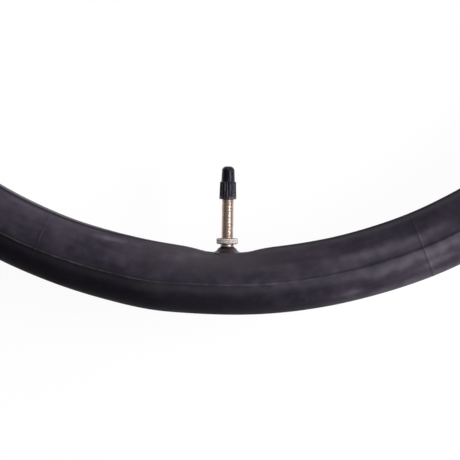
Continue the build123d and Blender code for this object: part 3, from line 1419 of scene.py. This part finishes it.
    def sculpt(self, tube: bpy.types.Object) -> None:
        """Raise the mould lines, twist the tube and press it to its saddle and its rest.

        Args:
            tube: the tube as it was added.
        """
        x, y, z = vertex_places(tube)
        turn = np.arctan2(x, -y)
        degrees = np.degrees(turn)
        phi = np.arctan2(z, self.ring - np.hypot(x, y))
        lines = self.lines_round_section(turn, phi)
        radius = self.section_radius(turn, phi, lines)
        shift = np.full(len(turn), self.slack)
        for middle, half_length, amount in self.wider_runs:
            shift = shift + amount * MM * hump(degrees, middle, half_length)
        turned_phi = phi + self.twist(turn) + self.lead_angle
        out = self.ring + shift - radius * np.cos(turned_phi)
        x, y, z = out * np.sin(turn), -out * np.cos(turn), radius * np.sin(turned_phi)
        near = (y < 0) & (np.abs(x) < self.saddle_reach * self.ring)
        y = np.where(near, -self.pressed(-y, x), y)
        rest = self.rest + 0.05 * MM
        z = 0.5 * (z + rest + np.sqrt((z - rest) ** 2 + self.rest_softness**2))
        place_vertices(tube, x, y, z)
        self.mark_skin(tube, turn, phi, lines)

    def mark_skin(
        self, tube: bpy.types.Object, turn: np.ndarray, phi: np.ndarray, lines: np.ndarray
    ) -> None:
        """Tell the rubber's pattern where it is on the tube, where dust lies and where painted
        highlight, sheen and shade go.

        Args:
            tube: the tube.
            turn: angles round the ring from the valve.
            phi: angles round the section from its inner side, before the twist.
            lines: one on a mould line that crosses the tube.
        """
        degrees = np.degrees(turn)
        near_valve = 1 - step_up(np.abs(degrees), *self.right_fades)
        # Seam dust with painted highlight.
        seam_dust_and_highlight = self.seam_dust_and_highlight + sum(
            amount * hump(degrees, middle, length)
            for middle, length, amount in self.seam_dust_and_highlight_patches
        )
        # Talcum patches, partly painted sheen.
        talc_and_sheen = np.zeros(len(turn))
        for middle, across, length, width, amount in self.talc_and_sheen_patches:
            along = np.angle(np.exp(1j * (turn - math.radians(middle)))) / math.radians(length)
            aside = (self.section * (phi - math.pi / 2) / MM - across) / width
            talc_and_sheen = talc_and_sheen + amount * np.exp(-(along**2) - aside**2) * (np.sin(phi) > 0)
        self.mark(tube, "section_cos", np.cos(phi))
        self.mark(tube, "section_sin", np.sin(phi))
        self.mark(tube, "right_side", step_up(degrees, *self.right_from) * near_valve)
        self.mark(tube, "ring_line", lines)
        # Painted shade beside the seam ridge, fainter near the valve; groove holds its amount.
        middle, length, amount = self.fainter_seam_shade
        groove = self.seam_painted_shade - amount * hump(degrees, middle, length)
        self.mark(tube, "seam_painted_shade", groove)
        self.mark(tube, "seam_dust_and_highlight", seam_dust_and_highlight)
        self.mark(tube, "talc_and_sheen", talc_and_sheen)

    def build(self, rubber: bpy.types.Material) -> None:
        """Model the tube and dress it.

        Args:
            rubber: its finish.
        """
        tube = self.mould()
        self.sculpt(tube)
        clean(tube)
        smooth(tube, 60)
        dress(tube, rubber)
        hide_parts("tube")
        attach(tube, "tube_and_stem")
        log.info("rubber_tube: %d faces", len(tube.data.polygons))


# ------------------------------------------------------------------ the valve
@dataclass
class ValveBoot:
    """The rubber foot that joins the stem to the tube: a cone on a pad that thins to its edge."""

    tube: InnerTube
    bore: float = 2.92 * MM
    pad: float = 11.8 * MM
    pad_height: float = 0.3 * MM
    sunk: float = 0.45 * MM
    flare_foot: float = 6.2 * MM
    flare_reach: float = 2.4 * MM
    thin_share: float = 0.28

    def outline(self) -> Outline:
        """Give the half section, from the bore over the cone to the pad's edge and back under.

        Returns:
            The closed outline.
        """
        _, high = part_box("valve_boot")
        cone = (
            (0, 0.0),
            (3.5, 0.0),
            (3.72, 0.08),
            (4.09, 0.33),
            (4.55, 0.6),
            (4.87, 0.9),
            (5.17, 1.4),
            (5.63, 1.95),
            (6.28, 2.45),
            (7.1, 2.75),
            (8.2, 2.9),
        )
        feather = [self.pad * share for share in (0.8, 0.87, 0.93, 0.97, 1.0)]
        top = [(max(radius * MM, self.bore), high.y - drop * MM) for radius, drop in cone]
        edge = [(radius, high.y - 3.0 * MM) for radius in feather]
        under = [(radius, high.y - 4.2 * MM) for radius in (*reversed(feather), 6 * MM, self.bore)]
        return [*top, *edge, *under, top[0]]

    def drape(self, boot: bpy.types.Object) -> None:
        """Lay the pad on the tube's skin.

        Args:
            boot: the boot as it was turned.
        """
        _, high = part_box("valve_boot")
        x, y, z = vertex_places(boot)
        radius = np.hypot(x, z)
        share = np.clip((radius - self.flare_foot) / self.flare_reach, 0, 1)
        share = share * share * (3 - 2 * share)
        thin = np.clip((self.pad - radius) / (self.thin_share * self.pad), 0, 1)
        skin = self.tube.skin(x, z)
        above = skin + self.pad_height * np.sqrt(thin) - 0.03 * MM
        below = skin - self.sunk
        top = y > high.y - 3.6 * MM
        laid = np.where(top, above, below)
        y = np.where(top, y * (1 - share) + laid * share, below)
        place_vertices(boot, x, y, z)

    def build(self, rubber: bpy.types.Material) -> None:
        """Model the boot and dress it.

        Args:
            rubber: its finish.
        """
        boot = turned("boot", self.outline(), 120)
        self.drape(boot)
        clean(boot)
        smooth(boot, 50)
        dress(boot, rubber)
        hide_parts("valve_boot")
        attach(boot, "tube_and_stem")
        log.info("boot: %d faces", len(boot.data.polygons))


@dataclass
class ValveStem:
    """The plated stem: a thread of 0.8 mm pitch on a collar, and a foot that the boot grips."""

    # The crests stand 0.2 mm outside the frame's 6 mm thread, for the stem's look alone, and
    # KnurledNut.bore clears them. The frame's thread is the one to measure from.
    thread: Thread = Thread(crest=3.2 * MM, depth=0.22 * MM, pitch=0.8 * MM, facets=72)
    collar: float = 3.7 * MM
    neck: float = 2.9 * MM
    foot: float = 4.4 * MM
    bore: float = 2.25 * MM
    outlet: float = 1.4 * MM
    outlet_length: float = 10.4 * MM
    ledge: tuple[float, float] = (2.7 * MM, 1.7 * MM)
    rounding: float = 0.22 * MM

    def build(self, metal: bpy.types.Material) -> None:
        """Model the stem and dress it.

        Args:
            metal: its finish.
        """
        low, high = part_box("stem")
        nut_low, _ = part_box("lock_nut")
        _, boot_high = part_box("valve_boot")
        base_low, base_high = boot_high.y, nut_low.y
        ledge_low, ledge_high = (base_low - drop for drop in self.ledge)
        shoulder = low.y + self.outlet_length
        rod = self.thread.rod("stem_with_thread", base_high - 0.2 * MM, high.y)
        foot = turned(
            "stem_foot",
            (
                (0, low.y),
                (self.neck - 0.4 * MM, low.y),
                (self.neck, low.y + 0.4 * MM),
                (self.neck, ledge_low),
                (self.foot, ledge_low),
                (self.foot, ledge_high),
                (self.neck, ledge_high),
                (self.neck, base_low),
                (self.collar, base_low),
                (self.collar, base_high),
                (0, base_high),
            ),
        )
        rings = ((self.collar, base_low), (self.collar, base_high))
        round_rings(foot, rings, self.rounding)
        shape(rod, foot, Cut.WELD)
        bore = turned(
            "stem_bore",
            (
                (0, low.y - MM),
                (self.outlet, low.y - MM),
                (self.outlet, shoulder),
                (self.bore, shoulder),
                (self.bore, high.y + MM),
                (0, high.y + MM),
            ),
            64,
        )
        shape(rod, bore, Cut.REMOVE)
        clean(rod, 1e-5 * MM)
        smooth(rod, 32)
        dress(rod, metal)
        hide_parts("stem")
        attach(rod, "tube_and_stem")
        log.info("stem_with_thread: %d faces", len(rod.data.polygons))


@dataclass
class KnurledNut:
    """A round nut whose rim has rows of raised diamonds between chamfered faces."""

    name: str
    node: str
    slot: str
    body: str
    columns: int = 36
    rows: int = 2
    chamfer: float = 0.42 * MM
    tooth: float = 0.2 * MM
    land: float = 0.29 * MM
    proud: float = 0.12 * MM
    waist: float = 0.16 * MM
    bore: float = 3.27 * MM
    mouth: float = 0.3 * MM

    def blank(self) -> bpy.types.Object:
        """Turn the nut's body with a plain band where the knurl goes.

        Returns:
            The plain nut.
        """
        low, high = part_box(self.node)
        rim = high.x + self.proud - self.tooth
        face = rim - self.chamfer
        start, end = low.y + self.chamfer, high.y - self.chamfer
        band = [
            (
                rim - self.waist * math.sin(math.pi * row / self.rows),
                start + (end - start) * row / self.rows,
            )
            for row in range(self.rows + 1)
        ]
        outline = [
            (self.bore + self.mouth, low.y),
            (face, low.y),
            *band,
            (face, high.y),
            (self.bore + self.mouth, high.y),
            (self.bore, high.y - self.mouth),
            (self.bore, low.y + self.mouth),
            (self.bore + self.mouth, low.y),
        ]
        return turned(self.name, outline, self.columns)

    def knurl(self, nut: bpy.types.Object) -> None:
        """Turn the band's squares into diamonds and raise each to a small flat.

        Args:
            nut: the plain nut.
        """
        low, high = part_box(self.node)
        start, end = low.y + self.chamfer, high.y - self.chamfer
        rim = high.x + self.proud - self.tooth
        slack = 0.01 * MM

        def on_band(face: bmesh.types.BMFace) -> bool:
            """Say whether a face belongs to the rim's band."""
            return all(
                start - slack < corner.co.y < end + slack
                and math.hypot(corner.co.x, corner.co.z) > rim - self.waist - 0.1 * MM
                for corner in face.verts
            )

        with editing(nut, "FACE") as mesh:
            for face in mesh.faces:
                face.select_set(on_band(face))
            bpy.ops.mesh.poke()
        columns = TURN / self.columns

        def on_grid(place: Vector) -> bool:
            """Say whether a place is a corner of the squares, and not a centre."""
            turn = math.atan2(place.x, place.z) / columns
            return abs(turn - round(turn)) < 0.1

        with editing(nut, "EDGE") as mesh:
            for edge in mesh.edges:
                ends = [vertex.co for vertex in edge.verts]
                inside = all(start - slack < place.y < end + slack for place in ends)
                outer = all(math.hypot(place.x, place.z) > self.bore + MM for place in ends)
                border = all(
                    min(abs(place.y - start), abs(place.y - end)) < slack for place in ends
                ) and abs(ends[0].y - ends[1].y) < slack
                grid = all(on_grid(place) for place in ends)
                edge.select_set(inside and outer and grid and not border)
            bmesh.update_edit_mesh(nut.data)
            bpy.ops.mesh.dissolve_edges(use_verts=False)
        with editing(nut, "FACE") as mesh:
            for face in mesh.faces:
                face.select_set(on_band(face))
            bpy.ops.mesh.inset(
                thickness=self.land, depth=self.tooth, use_individual=True, use_even_offset=True
            )

    def build(self, metal: bpy.types.Material) -> None:
        """Model the nut and dress it.

        Args:
            metal: its finish.
        """
        nut = self.blank()
        self.knurl(nut)
        clean(nut)
        smooth(nut, 22)
        dress(nut, metal)
        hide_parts(self.node)
        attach(nut, self.body)
        log.info("%s: %d faces", self.name, len(nut.data.polygons))


@dataclass
class ValveCore:
    """The removable core: a flanged body with the tip's thread, and the pin inside it."""

    tip: Thread = Thread(crest=2.6 * MM, depth=0.4 * MM, pitch=1.058 * MM)
    pin: Thread = Thread(crest=1.0 * MM, depth=0.2 * MM, pitch=0.4 * MM, facets=32)
    flange: float = 2.75 * MM
    flats: float = 4.7 * MM
    shank: float = 2.2 * MM
    barrel: float = 1.95 * MM
    air_bore: float = 1.2 * MM
    guide_bore: float = 1.06 * MM
    rod: float = 0.75 * MM
    head: float = 1.25 * MM
    head_height: float = 0.6 * MM
    pin_flats: float = 1.5 * MM
    pin_thread_length: float = 4.9 * MM
    flange_height: float = 2.3 * MM
    guide_length: float = 2.4 * MM
    rounding: float = 0.18 * MM

    def body(self) -> bpy.types.Object:
        """Model the core's body: barrel, shank, flange with two flats, and the tip's thread.

        Returns:
            The body.
        """
        low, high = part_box("core_body")
        _, stem_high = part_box("stem")
        _, gasket_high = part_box("core_gasket")
        flange_high = stem_high.y + self.flange_height
        core = turned(
            "core_with_thread",
            (
                (0, low.y),
                (self.barrel - 0.2 * MM, low.y),
                (self.barrel, low.y + 0.2 * MM),
                (self.barrel, gasket_high.y),
                (self.shank, gasket_high.y),
                (self.shank, stem_high.y),
                (self.flange, stem_high.y),
                (self.flange, flange_high),
                (0, flange_high),
            ),
        )
        rings = ((self.flange, stem_high.y), (self.flange, flange_high))
        round_rings(core, rings, self.rounding)
        shape(core, slab("core_flats", low.y, high.y, 8 * MM, self.flats), Cut.KEEP_COMMON)
        tip = self.tip.rod("core_tip", flange_high - 0.3 * MM, high.y)
        shape(core, tip, Cut.WELD)
        bore = turned(
            "core_bore",
            (
                (0, low.y - MM),
                (self.air_bore, low.y - MM),
                (self.air_bore, high.y - self.guide_length - 0.2 * MM),
                (self.guide_bore, high.y - self.guide_length),
                (self.guide_bore, high.y + MM),
                (0, high.y + MM),
            ),
            48,
        )
        shape(core, bore, Cut.REMOVE)
        clean(core)
        return core

    def spindle(self) -> bpy.types.Object:
        """Model the pin: a rod with a head below, and a fine thread with two flats above.

        Returns:
            The pin.
        """
        low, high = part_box("core_pin")
        _, body_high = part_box("core_body")
        thread_low = body_high.y - self.pin_thread_length
        pin = self.pin.rod("pin_with_thread", thread_low, high.y)
        shape(pin, slab("pin_flats", low.y, high.y, 3 * MM, self.pin_flats), Cut.KEEP_COMMON)
        rod = turned(
            "pin_rod",
            (
                (0, low.y),
                (self.head - 0.2 * MM, low.y),
                (self.head, low.y + 0.2 * MM),
                (self.head, low.y + self.head_height),
                (self.rod, low.y + self.head_height),
                (self.rod, thread_low + 0.3 * MM),
                (0, thread_low + 0.3 * MM),
            ),
            48,
        )
        shape(pin, rod, Cut.WELD)
        clean(pin)
        return pin

    def build(self, metal: bpy.types.Material, rubber: bpy.types.Material) -> None:
        """Model the core and dress it with its small seals.

        Args:
            metal: the finish of the body and the pin.
            rubber: the finish of the seals.
        """
        for piece, node, rider in (
            (self.body(), "core_body", "tube_and_stem"),
            (self.spindle(), "core_pin", "valve_pin"),
        ):
            smooth(piece, 32)
            dress(piece, metal)
            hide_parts(node)
            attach(piece, rider)
            log.info("%s: %d faces", piece.name, len(piece.data.polygons))
        for node in ("core_gasket", "seat_seal"):
            dress(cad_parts[node], rubber)
            log.info("%s: kept from the frame", node)
        dress(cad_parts["seal_retainer"], metal)
        log.info("seal_retainer: kept from the frame")


@dataclass
class DustCap:
    """The push-on plastic cap: a fluted skirt with a plain hem, and a domed end."""

    ribs: int = 20
    rib_turn: float = math.radians(6)
    columns_per_rib: int = 6
    hem: float = 0.8 * MM
    skirt_foot: float = 4.65 * MM
    skirt_top: float = 4.35 * MM
    skirt_height: float = 9.4 * MM
    shoulder: float = 0.3 * MM
    dome_foot: float = 3.68 * MM
    dome_top: float = 3.42 * MM
    flank: float = 0.12 * MM
    flute: float = 0.3 * MM
    corner: float = 2.4 * MM
    corner_faces: int = 9
    flute_stop: float = 0.35 * MM
    hem_bevel: float = 0.15 * MM
    mouth: float = 3.55 * MM
    stem_bore: float = 3.3 * MM
    flange_bore: float = 2.9 * MM
    tip_bore: float = 2.65 * MM
    nut_bore: float = 2.3 * MM
    roof: float = 1.7 * MM

    def outline(self) -> Outline:
        """Give the outer half section from the hem over the dome, and back down the bore.

        Returns:
            The closed outline.
        """
        low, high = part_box("cap")
        top = low.y + self.skirt_height
        flutes_low, flutes_high = low.y + self.hem, top - self.flute_stop

        def skirt(y: float) -> tuple[float, float]:
            """Give the skirt's corner at a height."""
            share = (y - low.y) / (top - low.y)
            return self.skirt_foot + (self.skirt_top - self.skirt_foot) * share, y

        dome_foot, dome_start = top + self.shoulder, high.y - self.corner
        outer = [
            (self.mouth, low.y),
            (self.skirt_foot - self.hem_bevel, low.y),
            (self.skirt_foot, low.y + self.hem_bevel),
            *(
                skirt(flutes_low + (flutes_high - flutes_low) * share)
                for share in (0.0, 0.12, 0.5, 0.88, 1.0)
            ),
            (self.skirt_top - 0.08 * MM, top - 0.12 * MM),
            (self.skirt_top - 0.3 * MM, top),
            (self.dome_foot + 0.1 * MM, dome_foot - 0.15 * MM),
            (self.dome_foot, dome_foot),
            ((self.dome_foot + self.dome_top) / 2, (dome_foot + dome_start) / 2),
        ]
        flat_top = self.dome_top - self.corner
        for number in range(self.corner_faces):
            turn = math.radians(90) * number / self.corner_faces
            across, up = self.corner * math.cos(turn), self.corner * math.sin(turn)
            outer.append((flat_top + across, dome_start + up))
        outer += [(flat_top, high.y), (0, high.y)]
        ceiling = high.y - self.roof
        inner = [
            (0, ceiling),
            (self.nut_bore, ceiling),
            (self.nut_bore, ceiling - 3.6 * MM),
            (self.tip_bore, ceiling - 3.9 * MM),
            (self.tip_bore, low.y + 8.6 * MM),
            (self.flange_bore, low.y + 8.3 * MM),
            (self.flange_bore, low.y + 4.5 * MM),
            (self.stem_bore, low.y + 4.2 * MM),
            (self.stem_bore, low.y + 0.25 * MM),
            (self.mouth, low.y),
        ]
        return [*outer, *inner]

    def build(self, plastic: bpy.types.Material) -> None:
        """Model the cap and dress it.

        Args:
            plastic: its finish.
        """
        low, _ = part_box("cap")
        columns = self.ribs * self.columns_per_rib
        cap = turned("ribbed_cap", self.outline(), columns)
        start = low.y + self.hem
        rib = TURN / self.ribs
        slack = 0.01 * MM

        def on_side(place: Vector) -> float:
            """Say how far a place of the skirt is from its nearest rib.

            Args:
                place: a vertex of the cap.

            Returns:
                The distance in ribs, or nothing off the fluted skirt.
            """
            turn = (math.atan2(place.x, place.z) + self.rib_turn) / rib
            radius = math.hypot(place.x, place.z)
            on_skirt = place.y > start + slack and radius > self.skirt_top - 0.5 * MM
            return abs(turn - round(turn)) if on_skirt else 0.0

        for least, depth in ((0.1, self.flank), (0.25, self.flute - self.flank)):
            factor = 1 - depth / self.skirt_top
            with editing(cap):
                pick_vertices(cap, lambda place: on_side(place) > least)
                bpy.ops.transform.resize(value=(factor, 1, factor), center_override=(0, 0, 0))
        clean(cap)
        smooth(cap, 28)
        dress(cap, plastic)
        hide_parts("cap")
        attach(cap, "cap")
        log.info("ribbed_cap: %d faces", len(cap.data.polygons))


# ------------------------------------------------------------------ the studio
def seen_white(tree: bpy.types.NodeTree) -> bpy.types.NodeSocket:
    """Pick out what the eye sees directly, in a reflection or through glass.

    Args:
        tree: the node tree of the world or the floor.

    Returns:
        One for such a ray, and nothing for one that lights a surface.
    """
    path = add_node(tree, "LightPath").outputs
    return strongest(
        tree, path["Is Camera Ray"], path["Is Glossy Ray"], path["Is Transmission Ray"]
    )


class Lights(Enum):
    """What a lamp shows itself in."""

    SURFACES = "surfaces"
    REFLECTIONS = "reflections"
    BOTH = "surfaces and reflections"


@dataclass(frozen=True)
class Softbox:
    """One large soft lamp, which lights surfaces or is seen in reflections."""

    name: str
    place: tuple[float, float, float]
    width: float
    height: float
    strength: float
    role: Lights = Lights.SURFACES
    colour: str = "#ffffff"

    def build(self, aim: Vector) -> None:
        """Add the lamp and point it.

        Args:
            aim: where it points.
        """
        bpy.ops.object.select_all(action="DESELECT")
        bpy.ops.object.light_add(type="AREA", location=self.place)
        lamp = bpy.context.active_object
        lamp.name = self.name
        lamp.visible_camera = False
        lamp.visible_glossy = self.role is not Lights.SURFACES
        lamp.visible_diffuse = self.role is not Lights.REFLECTIONS
        lamp.data.shape, lamp.data.size, lamp.data.size_y = "RECTANGLE", self.width, self.height
        lamp.data.color = linear(self.colour)[:3]
        distance = (Vector(self.place) - aim).length
        lamp.data.energy = self.strength * math.pi**2 * distance**2
        lamp.rotation_euler = (aim - Vector(self.place)).to_track_quat("-Z", "Y").to_euler()


@dataclass
class Studio:
    """A white table, soft lamps, and a camera with a long lens over the valve."""

    aim: tuple[float, float, float] = (1.42 * MM, -237.7 * MM, 0.0)
    distance: float = 1.95
    tilt: float = 1.5
    roll: float = 0.84
    view_width: float = 249 * MM
    sensor: float = 36.0
    floor_side: float = 12.0
    fill: float = 0.06
    ceiling: float = 0.22
    dim_side: float = 0.5
    dim_edge: tuple[float, float] = (-0.8, 0.2)
    sweep_edge: tuple[float, float] = (0.1, 0.3)
    fill_colour: str = "#fffdfb"
    paper: str = "#606060"
    shadow: str = "#4a4a4a"
    glow: float = 0.95
    softboxes: tuple[Softbox, ...] = (
        Softbox("side_softbox", (0.74, -0.25, 0.17), 0.5, 0.34, 2.95),
        Softbox("far_softbox", (0.0, 1.02, 0.36), 1.0, 0.6, 0.6),
        Softbox("top_softbox", (0.0, 0.68, 0.92), 1.0, 1.0, 0.26, Lights.BOTH),
        Softbox("side_panel", (0.85, -0.24, 0.98), 0.5, 0.5, 0.36, Lights.REFLECTIONS),
    )

    def camera(self) -> None:
        """Add the camera."""
        tilt = math.radians(self.tilt)
        aim = Vector(self.aim)
        place = aim + self.distance * Vector((0, math.sin(tilt), math.cos(tilt)))
        bpy.ops.object.camera_add(location=place)
        camera = bpy.context.active_object
        camera.name = "camera"
        camera.rotation_euler = (
            Matrix.Rotation(-tilt, 3, "X") @ Matrix.Rotation(math.radians(self.roll), 3, "Z")
        ).to_euler()
        camera.data.sensor_width = self.sensor
        camera.data.lens = self.sensor * self.distance / self.view_width
        camera.data.clip_start, camera.data.clip_end = 0.05, 50
        bpy.context.scene.camera = camera

    def sky(self) -> None:
        """Make the world: white to the eye and in reflections, a plain fill on surfaces."""
        world = bpy.context.scene.world or bpy.data.worlds.new("studio_world")
        bpy.context.scene.world = world
        world.use_nodes = True
        tree = world.node_tree
        tree.nodes.clear()
        to_eye = add_node(tree, "LightPath").outputs["Is Camera Ray"]
        fill = add_node(
            tree, "Background", {"Color": linear(self.fill_colour), "Strength": self.fill}
        )
        towards = add_node(
            tree, "SeparateXYZ", {0: add_node(tree, "TexCoord").outputs["Generated"]}
        ).outputs
        sweep = span(tree, towards["Z"], self.sweep_edge, (1.0, self.ceiling))
        aside = span(tree, towards["X"], self.dim_edge, (self.dim_side, 1.0))
        brightness = strongest(tree, to_eye, product(tree, sweep, aside))
        white = add_node(tree, "Background", {"Color": (1, 1, 1, 1), "Strength": brightness})
        shaders = {0: seen_white(tree), 1: fill.outputs[0], 2: white.outputs[0]}
        mixed = add_node(tree, "MixShader", shaders)
        add_node(tree, "OutputWorld", {"Surface": mixed.outputs[0]})

    def floor(self) -> None:
        """Add the white table that the tube lies on, with a faint shadow."""
        low, _ = CAD_BOX
        bpy.ops.object.select_all(action="DESELECT")
        bpy.ops.mesh.primitive_grid_add(
            x_subdivisions=4, y_subdivisions=4, size=self.floor_side, location=(0, 0, low.z)
        )
        floor = added("studio_floor")
        settle(floor)
        made = blank_material("matt_white_paper")
        tree = made.node_tree
        paper = add_node(tree, "BsdfDiffuse", {"Color": linear(self.paper)})
        faint = add_node(tree, "BsdfDiffuse", {"Color": linear(self.shadow)})
        glow = add_node(tree, "Emission", {"Color": (1, 1, 1, 1), "Strength": self.glow})
        both = add_node(tree, "AddShader", {0: faint.outputs[0], 1: glow.outputs[0]})
        shaders = {0: seen_white(tree), 1: paper.outputs[0], 2: both.outputs[0]}
        mixed = add_node(tree, "MixShader", shaders)
        add_node(tree, "OutputMaterial", {"Surface": mixed.outputs[0]})
        dress(floor, made)

    def build(self) -> None:
        """Set up the table, the light and the camera."""
        bpy.context.scene.view_settings.view_transform = "Standard"
        self.camera()
        self.sky()
        self.floor()
        for softbox in self.softboxes:
            softbox.build(Vector(self.aim))
        log.info("studio: %d softboxes", len(self.softboxes))


def main() -> None:
    """Build the studio and every piece of the inner tube in order."""
    logging.basicConfig(level=logging.INFO, format="%(name)s %(message)s")
    Studio().build()
    plating = PlatedBrass().material()
    core_metal = PlatedBrass(
        name="turned_core_brass",
        bright="#d9c48f",
        worn="#b99d64",
        root="#7a6138",
        root_radius=0.72 * MM,
        crest_radius=0.98 * MM,
    ).material()
    seal_rubber = SealRubber().material()
    tube = InnerTube()
    tube.build(ButylTubeRubber().material())
    ValveBoot(tube).build(BootRubber().material())
    ValveStem().build(plating)
    KnurledNut("knurled_lock_nut", "lock_nut", "plated_nut", "lock_nut").build(
        PlatedBrass(
            name="nickel_plated_nut",
            bright="#f7eeeb",
            worn="#e0d2cd",
            root="#8b7c74",
            root_radius=5.45 * MM,
            crest_radius=5.75 * MM,
            roughness=(0.45, 0.58),
            metallic=0.6,
        ).material()
    )
    ValveCore().build(core_metal, seal_rubber)
    KnurledNut(
        "knurled_pin_nut",
        "pin_nut",
        "core_brass",
        "pin_nut",
        columns=20,
        chamfer=0.3 * MM,
        tooth=0.14 * MM,
        land=0.09 * MM,
        proud=0.0,
        waist=0.0,
        bore=1.02 * MM,
        mouth=0.15 * MM,
    ).build(core_metal)
    DustCap().build(CapPlastic().material())


if __name__ == "__main__":
    main()
